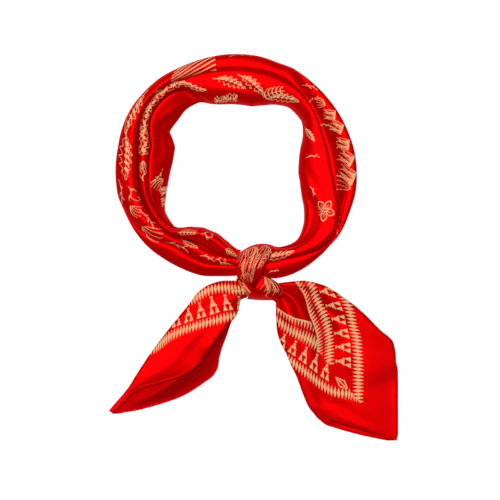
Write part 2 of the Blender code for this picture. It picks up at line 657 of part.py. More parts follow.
def hem(name, edge_points, away_from, finish):
    """The hand-rolled hem: a round roll along an edge, just clear of the cloth."""
    offset = HEM_RADIUS + SEAM_GAP
    route = []
    for i, (point, inner) in enumerate(zip(edge_points, away_from)):
        before = edge_points[max(i - 1, 0)]
        after = edge_points[min(i + 1, len(edge_points) - 1)]
        along = (after - before).normalized()
        outward = point - inner
        outward -= along * outward.dot(along)
        outward.z = 0
        outward.normalize()
        place = point + outward * offset
        place.z = max(place.z, HEM_RADIUS + HEM_OFF_FLOOR)
        route.append((place, along))
    rings = []
    for place, along in route:
        side = along.cross(Vector((0, 0, 1))).normalized()
        up = side.cross(along).normalized()
        rings.append([
            place + (side * math.cos(a) + up * math.sin(a)) * HEM_RADIUS
            for a in (2 * math.pi * k / HEM_SIDES for k in range(HEM_SIDES))
        ])
    shape = bmesh.new()
    tube_faces(shape, rings)
    return add_object(name, shape, finish)


# ---------------------------------------------------------------- the scarf


def main():
    for old in list(bpy.data.objects):
        bpy.data.objects.remove(old)
    silk = material("printed_silk_twill", (0.62, 0.004, 0.006, 1.0), 0.38, 0.3)
    hem_silk = material("rolled_hem_silk", (0.50, 0.004, 0.008, 1.0), 0.45, 0.3)

    ring = [ring_stretch(stretch, silk) for stretch in STRETCHES]
    over_clear, cross_clear, side_clear = knot(silk)
    cut_clear(ring[0], [over_clear, side_clear])
    cut_clear(ring[-1], [over_clear, cross_clear])

    left = left_rows()
    right = right_rows()
    tail_left = cloth_wall("tail_left", left, silk)
    tail_right = cloth_wall("tail_right", right, silk)
    cut_clear(tail_left, [over_clear, side_clear, cross_clear])
    cut_clear(tail_right, [over_clear, cross_clear])

    front = left[LEFT_HEM_FROM * ROWS_PER_GAP:]
    hem("hem_left_front", [row[-1] for row, _ in front[:-1]], [row[-4] for row, _ in front[:-1]], hem_silk)
    back = left[LEFT_HEM_FROM * ROWS_PER_GAP:]
    hem("hem_left_back", [row[0] for row, _ in back], [row[3] for row, _ in back], hem_silk)
    side = right[SIDE_HEM_FROM * ROWS_PER_GAP:]
    hem("hem_right_side", [row[-1] for row, _ in side], [row[-4] for row, _ in side], hem_silk)
    end = right[END_HEM_FROM * ROWS_PER_GAP:]
    hem("hem_right_end", [row[0] for row, _ in end], [row[3] for row, _ in end], hem_silk)


main()
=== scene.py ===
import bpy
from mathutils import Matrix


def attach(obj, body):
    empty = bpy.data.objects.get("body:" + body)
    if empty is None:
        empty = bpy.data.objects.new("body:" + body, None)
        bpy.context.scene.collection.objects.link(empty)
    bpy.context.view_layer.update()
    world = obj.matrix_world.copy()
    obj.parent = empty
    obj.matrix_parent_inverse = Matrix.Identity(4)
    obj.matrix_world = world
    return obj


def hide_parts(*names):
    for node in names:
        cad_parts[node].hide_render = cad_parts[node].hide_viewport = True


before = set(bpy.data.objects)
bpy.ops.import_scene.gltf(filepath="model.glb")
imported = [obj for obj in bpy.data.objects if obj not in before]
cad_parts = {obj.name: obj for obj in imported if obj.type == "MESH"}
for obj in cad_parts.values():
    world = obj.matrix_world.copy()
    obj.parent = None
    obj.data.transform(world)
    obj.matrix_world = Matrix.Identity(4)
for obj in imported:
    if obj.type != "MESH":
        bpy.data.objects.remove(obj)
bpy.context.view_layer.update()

# A silk square scarf, folded corner to corner into a soft band, tied once in a ring and laid flat.
# Tables are in millimetres, in the same frame as the solids: the knot at the ring's foot (-Y),
# the surface it lies on at Z = 0.

import math
from collections import namedtuple

import bpy
import numpy as np

MM = 0.001
RING_CENTRE = (-13.5, 67.0)
SILK = 0.4              # thickness of the cloth
BODY = "root"
FLOOR = "table_top"


def table(columns, *rows):
    """A short table: plain rows of values under named columns."""
    kind = namedtuple("Row", columns)
    return [kind(*row) for row in rows]


# ---------------------------------------------------------------- the ring's form
# The band is read in upright sections through the ring's centre. A turn of 0 degrees points at the
# knot (-Y), 90 at -X, 180 at +Y. Four rolls run along it between five lines, from outer to inner.

EDGES = table("turn outer inner",
    (0, 90, 67.5), (10, 92, 60), (20, 95.5, 56), (30, 97, 56.5), (40, 99, 62), (50, 101.5, 72.5),
    (60, 103, 72), (70, 104, 66.5), (80, 105.5, 61.5), (90, 105.5, 58.5), (100, 105.5, 57),
    (110, 106.5, 58), (117, 107, 63.5), (121, 107, 68.5), (130, 106, 68.5), (140, 105, 70),
    (150, 103, 69), (160, 102, 62.5), (170, 101.5, 60), (190, 101, 58.5), (200, 100, 62),
    (210, 101, 68), (220, 100.5, 72), (230, 100.5, 71.5), (240, 101, 66), (250, 101.5, 58.5),
    (260, 102.5, 54.5), (270, 103, 53), (280, 103.5, 54.5), (290, 103, 58.5), (300, 103.5, 66),
    (310, 102, 73.5), (320, 101.5, 78), (330, 100.5, 75), (340, 98, 68), (346, 94, 69.5),
    (353, 91, 70.5),
)

# The creases between the rolls: how far in from the outer edge, or at what radius, and how high
# the bottom of the crease lies.
CREASE = "turn place height"
OUTER_CREASE = table(CREASE,  # place is the inset from the outer edge
    (0, 9, 9), (15, 11, 9), (25, 12.5, 9), (40, 14.5, 9.5), (50, 10, 9.5), (58, 5.5, 8.5),
    (66, 1.6, 8.1), (80, 0.05, 8.05), (208, 0.05, 8.05), (222, 7, 7.6), (250, 8.5, 7), (285, 8, 7),
    (300, 4, 7.8), (312, 0.05, 8.05), (340, 0.1, 8.1), (353, 0.8, 8.2),
)
MAIN_CREASE = table(CREASE,
    (0, 75, 9), (15, 71.5, 5), (25, 69, 4), (32, 70.5, 4), (40, 75.5, 6), (50, 81, 11),
    (62, 83.5, 10), (75, 85, 4), (95, 86, 3), (105, 89, 3), (115, 93, 4), (130, 96.5, 6),
    (140, 95.5, 7), (150, 92.5, 8.5), (165, 89.5, 10), (180, 88, 10.5), (205, 87.5, 9),
    (218, 86.5, 9.5), (228, 84.4, 11.5), (238, 81.4, 11.5), (251, 79, 11.5), (265, 79.6, 11.5),
    (277, 83.5, 11), (288, 90.2, 10), (296, 95.5, 8), (303, 98.5, 7.5), (312, 97, 9), (320, 92, 11),
    (332, 85.5, 12), (340, 83, 12), (353, 80, 11),
)
SECOND_CREASE = table(CREASE,
    (0, 71, 5), (10, 61.5, 3), (20, 56.5, 2.8), (30, 57, 2.8), (40, 63, 3), (50, 74.5, 4),
    (60, 77, 6), (75, 78.5, 7), (90, 77, 8), (105, 77.5, 7), (115, 84, 6.5), (122, 88, 6.5),
    (130, 89.5, 6), (140, 88, 5), (147, 84.5, 4), (153, 71, 3), (160, 63.2, 2.6), (170, 60.5, 2.4),
    (190, 59, 2.4), (200, 62.4, 2.4), (210, 68.4, 2.6), (220, 72.4, 4), (230, 71.9, 5.2),
    (240, 66.4, 5.2), (250, 58.9, 5.2), (260, 54.9, 5.2), (270, 53.4, 5.2), (280, 55.5, 5.2),
    (288, 64, 9.5), (295, 76, 11.8), (303, 81.5, 11.8), (310, 83, 11.8), (320, 81.5, 9),
    (330, 76.5, 4), (340, 68.8, 3), (346, 70.5, 3), (353, 72, 3.5),
)

# How high each roll stands, from the outermost to the innermost.
CREST = "turn height"
OUTER_ROLL = table(CREST,
    (0, 12), (40, 12.5), (50, 11.5), (58, 10), (66, 8.6), (80, 8.2), (208, 8.2), (222, 9.4),
    (285, 9.4), (312, 8.2), (340, 8.2),
)
MAIN_ROLL = table(CREST,
    (0, 14), (20, 14.5), (40, 15.5), (60, 16), (150, 15.5), (170, 14.5), (205, 14), (225, 12.8),
    (275, 12.8), (288, 11.5), (300, 11.5), (312, 13), (325, 14.5), (340, 14.5),
)
MIDDLE_ROLL = table(CREST,
    (0, 15), (30, 15.5), (50, 16), (62, 15.5), (80, 16), (147, 15.5), (156, 16), (170, 17.5),
    (280, 17.5), (340, 17),
)
INNER_ROLL = table(CREST,
    (0, 5.5), (10, 3.2), (42, 3.4), (50, 6), (60, 12), (80, 13), (100, 13.5), (118, 13),
    (140, 11.5), (148, 7), (156, 3), (210, 3), (230, 5.4), (275, 5.4), (284, 7.5), (295, 13),
    (310, 13), (320, 10.5), (330, 5.5), (340, 3.6),
)
# The side of the band bulges furthest at these heights.
OUTER_BULGE = table(CREST,
    (0, 6), (50, 7), (66, 8), (208, 8), (225, 6.5), (285, 6.5), (312, 8), (340, 8),
)
INNER_BULGE = table(CREST,
    (0, 2.5), (52, 2.5), (62, 3), (145, 3), (156, 2.2), (205, 2.2), (230, 5), (280, 5), (295, 5),
    (312, 5), (325, 2.5), (340, 2.5),
)

STRETCHES = table("name start end",
    ("ring_lower_left", -2, 60), ("ring_left", 60, 146), ("ring_top", 146, 222),
    ("ring_right", 222, 296), ("ring_lower_right", 296, 352),
)
FOOT_INSET = 3.5        # the underside starts this far in from the bulge
CREST_OVER_CREASE = 0.2 # least height of a roll over the creases beside it

# ---------------------------------------------------------------- the knot's form
# Each wrap is a rounded lump: rows run from its head to its foot, each from its left edge to its
# right edge, with the height of its middle and of its two edges.

WRAP = "left_x left_y right_x right_y bow crest left_edge right_edge"
OVER_WRAP = table(WRAP,
    (-8.5, -1, 17.5, 2.5, 3.4, 10, 6, 5),
    (-12.5, -4, 19, -0.5, 2.4, 20, 11, 9),
    (-14.3, -10, 15.5, -6.5, 1.2, 25.5, 14, 12),
    (-14.9, -16.5, 11, -13.5, 0, 27, 15, 14),
    (-14.4, -22.5, 8.3, -19.5, -0.6, 25, 14, 15),
    (-12.2, -27, 6.2, -25, -0.8, 20.5, 12, 14),
    (-7.4, -29.8, 4.6, -28.5, -0.6, 15.5, 9, 12),
    (-2, -31.6, 3.2, -31, 0, 10.5, 7, 9),
)
CROSS_WRAP = table(WRAP,
    (7.6, -22.6, 10.4, -22.9, 0, 17, 16, 15),
    (4.8, -27.8, 16, -26.2, 0.6, 19, 18, 13),
    (1.9, -32.8, 21.8, -30.4, 0.6, 19.5, 18, 12),
    (-0.8, -37.3, 25.3, -36.3, 0, 18, 16, 11),
    (-4.4, -41, 24.2, -41.3, -0.4, 13.5, 10, 9),
    (-5.6, -43.2, 20.6, -44, -0.4, 7, 5, 5),
)
SIDE_ROLL = table(WRAP,
    (-14.6, -25.6, -6, -25, 0, 13.5, 7, 4.5),
    (-13.6, -31.4, 0, -27.5, 0, 14, 7.5, 4.5),
    (-10.4, -37.2, 3.5, -32, 0, 13.5, 7.5, 4.5),
    (-5.6, -41, 5, -37.4, 0, 11.5, 6.5, 4.5),
)
SIDE_ROLL_SHARE = 0.85  # the rolled part of the side roll's width

# ---------------------------------------------------------------- the left free corner
# Rows run from the knot to the tip. The cloth starts at the back edge, lies flat to the fold along
# the outer side, turns over it and comes back as the front panel. The curl is what turns under at
# the front edge. Past the front panel only a narrow lip of it goes on to the tip.

LEFT_ROWS = table("fold_x fold_y front_x front_y back_x back_y crest nose lip curl",
    (-9, -29, -6.5, -41, -5.5, -42, 11, 6, 6, 3),
    (-15, -27.5, -11.5, -44.5, -11, -44.5, 13, 7, 6, 4),
    (-25.5, -27.5, -12.5, -50.5, -12.5, -49.5, 12.5, 7.5, 8, 4.5),
    (-36, -30, -15, -57.5, -15, -56.5, 12, 7.5, 9, 5),
    (-46.5, -36, -21.5, -65, -19.5, -64.5, 11, 7, 9.5, 5),
    (-58, -50.5, -29, -74.5, -23, -75, 10.2, 6.5, 9.8, 4),
    (-69, -64, -36, -83.5, -27.5, -87, 9.2, 6, 9.4, 2.5),
    (-78.5, -76, -44, -93, -30, -96.5, 8, 5.5, 7.8, 0.5),
    (-88, -89, -52, -102, -35, -108, 7.2, 4.8, 6.8, 0),
    (-95.5, -100.5, -63, -108.5, -45, -116, 6.4, 4.4, 5.8, 0),
    (-102, -110.5, -78, -113.5, -62, -126.5, 5.2, 4, 4.8, 0),
    (-108, -119.5, -99, -120, -83, -134, 3.8, 3, 3.6, 0),
    (-113, -126, -108.6, -127, -102, -139, 2.8, 2.2, 2.6, 0),
    (-119.6, -133.4, -116, -135.2, -113.6, -141, 2.5, 2, 2.4, 0),
    (-125.6, -140.6, -122.8, -142.2, -122.2, -143.2, 2.4, 1.9, 2.3, 0),
)

# ---------------------------------------------------------------- the right free corner
# Rows run from the knot to the tip, across from the left outline to the right one. The cloth turns
# under at both outlines where a flap is given. A fold runs down the middle: the left panel ends in
# a rolled edge that stands over the right panel.

RIGHT_ROWS = table(
    "left_x left_y right_x right_y fold left_flap right_flap roll hollow ridge valley panel crest",
    (12.5, -42, 22, -29.5, 0.60, 3, 3, 9, 7, 11, 8, 7, 8),
    (19.5, -47, 31, -28.5, 0.60, 4, 4, 11, 5, 13, 8.5, 6.5, 9),
    (19.5, -56.5, 43, -27.5, 0.62, 6, 6, 11, 5.5, 13, 8.5, 5.5, 9),
    (20.5, -70.5, 59.5, -31, 0.57, 9, 9, 10, 8, 12, 7.5, 4.5, 8),
    (24, -82, 78, -42, 0.48, 12, 13, 8.5, 7.5, 10, 6.5, 3.8, 6.5),
    (28.5, -90.5, 94.5, -55, 0.41, 15, 17, 7.5, 6.8, 8.2, 5.6, 3.6, 5.4),
    (32.5, -100, 109, -69.5, 0.315, 17, 13, 6.5, 6, 6.4, 4.8, 3.5, 4.4),
    (38, -111.5, 122, -82.5, 0.25, 17, 2.5, 5.5, 5, 4.8, 4.4, 3.3, 3.2),
    (43, -125.5, 124.2, -98.5, 0.22, 14, 0, 4.5, 3.9, 3.6, 3.3, 2.8, 2.4),
    (48, -137, 124.4, -114.5, 0.22, 6, 0, 3.6, 3, 2.7, 2.5, 2.2, 1),
    (52, -142.5, 124.4, -121.5, 0.23, 2.6, 0, 2.9, 2.7, 2.4, 2.2, 2.1, 0.9),
    (58.5, -149.5, 124.4, -131.5, 0.24, 0, 0, 2, 2.2, 2.2, 2, 2, 0.9),
    (75.5, -155.5, 124.4, -144.5, 0.27, 0, 0, 0.9, 1.6, 2, 2, 1.6, 0.8),
    (98, -161.4, 124.4, -156, 0.32, 0, 0, 0.8, 0.9, 1.4, 1.4, 1.1, 0.7),
    (115, -164.8, 124.4, -163.6, 0.40, 0, 0, 0.6, 0.7, 0.9, 0.8, 0.7, 0.6),
    (122.6, -166.3, 124.4, -166.6, 0.50, 0, 0, 0.5, 0.5, 0.5, 0.5, 0.5, 0.5),
)

# The front edge of the left corner: ahead of the front line, and up from the lip's height. The last
# two points are pushed back by the curl.
LIP = table("ahead up", (-2.2, 0.9), (0, -0.5), (-1.7, -2.6), (-1.7, -2.9))
LONGEST_LEAD = 2.0      # of the panel that runs level up to the lip

LEAST_TURN = 3.5        # a narrower flap ends part of the way round the fold

# the table rows where the hems start
LEFT_HEM_FROM = 7
SIDE_HEM_FROM = 8
END_HEM_FROM = 11
HEM_RADIUS = 0.95

# ---------------------------------------------------------------- curves and meshes


class Fair:
    """A smooth line through (place, value) pairs that never swings past them."""

    def __init__(self, places, values):
        self.places = np.asarray(places, float)
        self.values = np.asarray(values, float)
        self.gaps = np.diff(self.places)
        rises = np.diff(self.values) / self.gaps
        slopes = [rises[0]]
        for i in range(1, len(rises)):
            before, after = rises[i - 1], rises[i]
            if before * after <= 0.0:
                slopes.append(0.0)
            else:
                near = 2 * self.gaps[i] + self.gaps[i - 1]
                far = self.gaps[i] + 2 * self.gaps[i - 1]
                slopes.append((near + far) / (near / before + far / after))
        self.slopes = np.array(slopes + [rises[-1]])

    def __call__(self, at):
        at = np.clip(at, self.places[0], self.places[-1])
        i = np.clip(np.searchsorted(self.places, at, side="right") - 1, 0, len(self.gaps) - 1)
        gap = self.gaps[i]
        t = (at - self.places[i]) / gap
        a, b = self.values[i], self.values[i + 1]
        sa, sb = self.slopes[i] * gap, self.slopes[i + 1] * gap
        return a + t * (sa + t * (3 * (b - a) - 2 * sa - sb + t * (2 * (a - b) + sa + sb)))


def column(rows, name):
    """One column of a table as a smooth line over the turn."""
    return Fair([row.turn for row in rows], [getattr(row, name) for row in rows])


def rows_between(rows, count):
    """The table's rows with smoothly worked out rows between them, count to each gap."""
    lines = [Fair(range(len(rows)), values) for values in zip(*rows)]
    at = np.linspace(0, len(rows) - 1, (len(rows) - 1) * count + 1)
    return [type(rows[0])(*values) for values in zip(*(line(at) for line in lines))]


def point(x, y, z=0.0):
    return np.array((x, y, z), float)


def unit(vector):
    return vector / max(float(np.linalg.norm(vector)), 1e-9)


def spline(points, count):
    """Points on a curve through the given ones, count to each gap, with both ends kept."""
    p = np.array([points[0] * 2 - points[1], *points, points[-1] * 2 - points[-2]])
    t = (np.arange(count) / count)[None, :, None]
    before, a, b, after = (p[i:len(p) - 3 + i, None, :] for i in range(4))
    found = (a * 2 + (b - before) * t + (before * 2 - a * 5 + b * 4 - after) * t * t
             + (a * 3 - before - b * 3 + after) * t * t * t) / 2
    return np.concatenate([found.reshape(-1, p.shape[1]), [points[-1]]])


def lengths_along(points):
    """How far along its path each point lies."""
    return np.concatenate([[0.0], np.cumsum(np.linalg.norm(np.diff(points, axis=0), axis=1))])


def at_lengths(points, places):
    """The points that lie at these distances along the path."""
    at = lengths_along(points)
    return np.stack([np.interp(places, at, points[:, i]) for i in range(points.shape[1])], axis=1)


def evenly(points, count):
    """count points evenly along the path."""
    return at_lengths(points, np.linspace(0, lengths_along(points)[-1], count))


def shortened(path, keep):
    """The path's own number of points less one, evenly along it, with only this share of what
    lies past its first stretch kept."""
    path = np.array(path, float)
    at = lengths_along(path)
    total = at[1] + keep * (at[-1] - at[1])
    return at_lengths(path, total * np.arange(1, len(path)) / (len(path) - 1))


def surface_normals(grid, closed):
    """The direction each point of a grid faces, rows along and points across."""
    along = np.gradient(grid, axis=0)
    if closed:
        across = np.roll(grid, -1, axis=1) - np.roll(grid, 1, axis=1)
    else:
        across = np.gradient(grid, axis=1)
    normals = np.cross(across, along)
    return normals / np.maximum(np.linalg.norm(normals, axis=2, keepdims=True), 1e-9)


def smooth_step(value, low, high):
    t = np.clip((np.asarray(value, float) - low) / (high - low), 0.0, 1.0)
    return t * t * (3 - 2 * t)


def soft_ridge(run, along, across, fullness=1.0):
    """How much of a soft ridge or trough there is at each place: 1 at its middle. It runs from one
    place to another and fades at both ends."""
    share = np.clip((along - run.start) / (run.end - run.start), 0, 1)
    off = (across - run.start_across - (run.end_across - run.start_across) * share) / run.width
    return np.clip(np.sin(math.pi * share), 0, 1) ** fullness * np.exp(-off * off)


def make_shell(name, points, quads, finish, offset, printed=None, uv=None):
    """A thin shell of silk over points in millimetres. printed is each point's distance from the
    print, and uv each face corner's place on the border design."""
    mesh = bpy.data.meshes.new(name)
    mesh.vertices.add(len(points))
    mesh.vertices.foreach_set("co", (points * MM).astype(np.float32).ravel())
    mesh.loops.add(quads.size)
    mesh.loops.foreach_set("vertex_index", quads.astype(np.int32).ravel())
    mesh.polygons.add(len(quads))
    mesh.polygons.foreach_set("loop_start", np.arange(0, quads.size, 4, dtype=np.int32))
    mesh.update(calc_edges=True)
    if printed is not None:
        field = mesh.attributes.new("print", "FLOAT", "POINT")
        field.data.foreach_set("value", printed.astype(np.float32).ravel())
    if uv is not None:
        layer = mesh.uv_layers.new(name="border")
        layer.data.foreach_set("uv", uv.astype(np.float32).ravel())
    mesh.validate()
    mesh.shade_smooth()
    mesh.materials.append(finish)
    made = bpy.data.objects.new(name, mesh)
    bpy.context.scene.collection.objects.link(made)
    wall = made.modifiers.new("silk", "SOLIDIFY")
    wall.thickness = SILK * MM
    wall.offset = offset
    wall.use_even_offset = False
    return made


def grid_quads(rows, across, closed):
    """The faces of a grid of points, rows one after another."""
    index = np.arange(rows * across).reshape(rows, across)
    here = index if closed else index[:, :-1]
    after = np.roll(index, -1, axis=1) if closed else index[:, 1:]
    return np.stack([here[:-1], after[:-1], after[1:], here[1:]], axis=-1).reshape(-1, 4)


def ride_as(piece, node):
    """The piece stands for its solid: it rides on the body, and the solid is hidden."""
    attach(piece, BODY)
    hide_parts(node)


def flat_from_area(piece, long):
    """The width and length, in metres, of the cloth that shows on a folded piece this long."""
    area = sum(face.area for face in piece.data.polygons)
    return area / (long * MM), long * MM


# ---------------------------------------------------------------- the ring's folds

RING_STEP = 0.4         # degrees between sections
ROLL_STEPS = (20, 48, 54, 34)
SIDE_STEPS = 8
FOOT_POINTS = 6
OVER, MIDDLE, INNER = 0, 1, 2       # which fold of the print shows on each roll
ROLL_FOLD = (OVER, OVER, MIDDLE, INNER)
FOLD_RADIUS = (95.0, 78.0, 68.0)    # along which each fold's print is measured
# between these turns the middle fold spreads out, and from there its print no longer follows it
SPREADS = (150.0, 165.0)

# How far the bottom of a crease is tucked under its neighbour: out is under the outer roll.
TUCKS = table("turn main second",
    (0, 1, 0.5), (30, 1.5, 1), (60, 1, 2), (90, 2.2, 2.5), (120, 2.6, 2.8), (145, 1, 1),
    (165, -2, -1), (200, -2.5, -1.2), (225, -2.8, -1.5), (250, -3, -1.5), (275, -3, -1),
    (292, -2.6, 0), (305, -1.5, 0.5), (320, -0.5, 0.5), (352, 0.5, 0.5),
)

# Which way each roll leans: under 1 its crest lies towards the outside of the ring. full is the
# main roll's fullness: under 1 is fuller than a sine wave, over 1 hollower. The others keep theirs.
OUTER_FULLNESS, MIDDLE_FULLNESS, INNER_FULLNESS = 0.8, 0.7, 1.1
LEANS = table("turn outer main middle inner full",
    (0, 2, 1, 1, 1, 0.8), (40, 2, 1, 0.9, 0.8, 0.8), (60, 1.3, 1.3, 1, 0.4, 0.8),
    (70, 1, 1.3, 1, 0.4, 0.8), (140, 1, 1.3, 0.9, 0.4, 0.8), (155, 1, 1.2, 0.6, 0.8, 0.75),
    (205, 1, 1.2, 0.6, 1, 0.8), (222, 1, 2.2, 0.6, 1, 0.9), (235, 1, 2.4, 0.55, 1, 0.9),
    (262, 1, 2.4, 0.5, 1, 0.9), (280, 1, 2.4, 0.5, 1, 0.9), (300, 1, 1.6, 0.6, 1, 0.9),
    (315, 1.2, 1.3, 0.8, 0.9, 0.8), (335, 1.4, 1.7, 0.9, 1, 0.8), (352, 2, 1.5, 1, 1, 0.8),
)

# Soft ridges and troughs in the rolls: from one turn and distance from the roll's crest, outward
# positive, to another. A negative height is a trough.
PRESSES = table("fold start start_across end end_across width height",
    (OVER, 62, 5, 128, -1, 4, -0.5), (OVER, 20, 6, 58, 1, 3.4, -0.6),
    (OVER, 148, -3, 205, 3.5, 4, -0.5), (OVER, 215, 5, 268, 0, 4.5, -0.6),
    (OVER, 272, 4, 330, -3, 4, -0.7), (OVER, 300, 7, 345, 3, 3, 0.4),
    (OVER, 8, -5, 38, -7, 3.4, -2), (MIDDLE, 100, 1, 150, -3, 3.2, -0.4),
    (MIDDLE, 160, 5, 200, -5, 4, -0.8), (MIDDLE, 196, 5, 240, -2, 3.6, -0.5),
    (MIDDLE, 238, -6, 262, 4, 4.2, 0.2), (MIDDLE, 262, -9, 292, 3, 4.6, -0.4),
    (MIDDLE, 276, -10, 300, 0, 3.2, 0.5), (MIDDLE, 22, 0, 52, 4, 3, -0.5),
    (MIDDLE, 315, 2, 345, -3, 3.6, -0.6), (MIDDLE, 8, 4, 44, 6, 3.4, -2.2),
    (INNER, 60, 4, 86, 1, 4.2, -0.9), (INNER, 96, 5, 126, 0, 4.6, -0.9),
    (INNER, 108, -3, 119, -8, 2.6, -1.2), (INNER, 118, 5, 142, -4, 3, 0.6),
)

# Gathers run into the knot from both ends of the band.
GATHERS = table("turn reach", (0, 11), (352, 9))
GATHER_WAVES = 0.55     # radians a millimetre round the section
GATHER_HEIGHT = 0.5
GATHER_FADE = 2.2       # how fast they fade, in reaches
GATHER_DRIFT = (1.7, 0.31)  # how unevenly they are spaced: radians, and waves a millimetre
PRESS_FULLNESS = 0.8

# The band's many layers show as fine steps down its two sides.
LAYER_STEP = 2.3
LAYER_DEPTH = 0.25
LAYER_FADES = (0.8, 1.5)    # over these heights at the foot and at the top

RING_LINES = {key: column(rows, name) for key, rows, name in (
    ("outer", EDGES, "outer"), ("inner", EDGES, "inner"),
    ("outer_inset", OUTER_CREASE, "place"), ("outer_low", OUTER_CREASE, "height"),
    ("main", MAIN_CREASE, "place"), ("main_low", MAIN_CREASE, "height"),
    ("second", SECOND_CREASE, "place"), ("second_low", SECOND_CREASE, "height"),
    ("outer_bulge", OUTER_BULGE, "height"), ("inner_bulge", INNER_BULGE, "height"),
    ("main_tuck", TUCKS, "main"), ("second_tuck", TUCKS, "second"), ("main_full", LEANS, "full"),
    ("outer_lean", LEANS, "outer"), ("main_lean", LEANS, "main"),
    ("middle_lean", LEANS, "middle"), ("inner_lean", LEANS, "inner"),
)}
RING_CRESTS = [column(t, "height") for t in (OUTER_ROLL, MAIN_ROLL, MIDDLE_ROLL, INNER_ROLL)]

# ---------------------------------------------------------------- the printed design
# The print on the band and the knot is worked out as each point's distance from tapered strokes of
# the printer's line. Motifs are drawn pointing along +X at a size of one and then placed.

FAR = 1.5               # distances are worked out no further than this

Stroke = namedtuple("Stroke", "points radii")


def stroke(start, end, bow=0.0, thick=0.05, thin=0.02, count=7):
    """A tapered stroke that bows to the left of its way by this share of its length."""
    t = np.linspace(0.0, 1.0, count)[:, None]
    start, end = np.array(start, float), np.array(end, float)
    way = end - start
    points = start + way * t + np.array((-way[1], way[0])) * bow * 4 * t * (1 - t)
    return Stroke(points, thick + (thin - thick) * t[:, 0])


def leaf():
    """A long lobed leaf in outline, with its veins filled on one side."""
    t = np.linspace(0.0, 1.0, 44)
    body = np.sin(math.pi * t ** 0.75) ** 0.8
    made = []
    for side in (1, -1):
        wave = 1.0 + 0.36 * np.sin(2 * math.pi * (5.5 * t + 0.2 * side))
        x = t + 0.03 * np.cos(2 * math.pi * 5.5 * t) * body
        made.append(Stroke(np.stack([x, side * 0.135 * body * wave], axis=1), np.full(44, 0.008)))
    made.append(stroke((-0.15, -0.03), (0.9, 0.0), 0.03, 0.014, 0.007))
    for k in range(5):
        start = 0.12 + 0.15 * k
        half = 0.135 * math.sin(math.pi * start ** 0.75)
        made.append(stroke((start, 0.01), (start + 0.13, 0.8 * half), 0.12, 0.036, 0.008, 5))
    return made


def sprig():
    """A stem with pairs of narrow leaflets that shorten to its tip."""
    made = [stroke((0, 0), (1, 0), 0.05, 0.016, 0.010, 9)]
    for i in range(5):
        x = 0.10 + 0.18 * i
        y = 0.05 * 4 * x * (1 - x)
        reach = 0.34 * (1 - 0.5 * x)
        for side in (1, -1):
            tip = (x + reach * 0.8, y + side * reach * 0.85)
            made.append(stroke((x, y), tip, 0.2 * side, 0.026, 0.010, 4))
    return made


def fan():
    """Fine rays that open from a wedge."""
    made = [stroke((-0.12, -0.20), (0.1, -0.27), 0.1, 0.024, 0.012)]
    for i in range(8):
        root = (0.02 + 0.005 * i * i, -0.26 + 0.040 * i)
        made.append(stroke(root, (0.86 + 0.02 * i, -0.27 + 0.092 * i), -0.05, 0.007, 0.013))
    return made


def star_flower():
    """Five pointed petals in outline, with a ring for an eye."""
    swing = np.linspace(0, 2 * math.pi, 11)
    eye = np.stack([0.07 * np.cos(swing), 0.07 * np.sin(swing)], axis=1)
    made = [Stroke(eye, np.full(11, 0.018))]
    for i in range(5):
        swing = math.radians(72 * i + 20)
        way = np.array((math.cos(swing), math.sin(swing)))
        for bow in (0.36, -0.36):
            made.append(stroke(way * 0.10, way * 0.52, bow, 0.016, 0.024, 9))
        made.append(stroke(way * 0.16, way * 0.33, 0, 0.016, 0.008))
    return made


def grass():
    """A tuft: blades that rise from a full base and bend to fine tips."""
    made = [stroke((-0.02, -0.32), (-0.02, 0.32), 0.0, 0.035, 0.035)]
    for i in range(11):
        y = -0.32 + 0.064 * i
        tip = (0.5 + 0.45 * abs(math.sin(1.9 * i + 0.6)), y * 1.2 + 0.12 * math.sin(2.3 * i))
        made.append(stroke((0.0, y), tip, 0.12 * math.sin(1.3 * i), 0.028, 0.006))
    return made


def tendril():
    """A waving stem with a curl at its end and two buds."""
    t = np.linspace(0.0, 1.0, 16)
    stem = np.stack([t * 0.75, 0.1 * np.sin(2 * math.pi * t)], axis=1)
    swing = np.linspace(-0.5 * math.pi, 0.9 * math.pi, 12)
    size = np.linspace(0.15, 0.06, 12)
    curl = np.stack([0.75 + size * np.cos(swing), 0.15 + size * np.sin(swing)], axis=1)
    made = [Stroke(stem, np.full(16, 0.015)), Stroke(curl, np.full(12, 0.015))]
    made.append(stroke((0.2, 0.08), (0.44, 0.28), 0.2, 0.04, 0.010))
    made.append(stroke((0.45, -0.08), (0.66, -0.26), -0.2, 0.035, 0.010))
    return made


def frond():
    """Long thin blades that part as they bend away."""
    made = []
    for i in range(5):
        root = (0.05 * abs(i - 2), 0.07 * (i - 2))
        tip = (1 - 0.12 * abs(i - 1), 0.22 * (i - 2) + 0.12)
        made.append(stroke(root, tip, -0.16 + 0.03 * i, 0.017, 0.006, 9))
    return made


def twig():
    """One thin bent stem with small thorns."""
    made = [stroke((0, 0), (1, 0), 0.14, 0.012, 0.010, 12)]
    for x, y, side in ((0.25, 0.10, 1), (0.5, 0.14, -1), (0.72, 0.11, 1)):
        made.append(stroke((x, y), (x + 0.13, y + 0.12 * side), 0.1 * side, 0.02, 0.008, 4))
    return made


def lace():
    """Lobed outlines that wander side by side, as thick undergrowth."""
    x = np.linspace(0.0, 1.0, 60)
    made = []
    for lift, pace, shift in ((0.13, 47.0, 0.0), (-0.10, 39.0, 1.1), (0.02, 61.0, 2.3)):
        lobes = 0.055 * np.sin(pace * x + shift + 2.0 * np.sin(13.0 * x))
        y = lift + lobes + 0.03 * np.sin(11.0 * x + shift)
        x_of_lobes = x + 0.018 * np.cos(pace * x + shift)
        made.append(Stroke(np.stack([x_of_lobes, y], axis=1), np.full(60, 0.009)))
    for i in range(6):
        tip = (0.16 + 0.15 * i, 0.08 - 0.16 * (i % 2))
        made.append(stroke((0.08 + 0.15 * i, -0.02), tip, 0.1, 0.03, 0.01, 4))
    return made


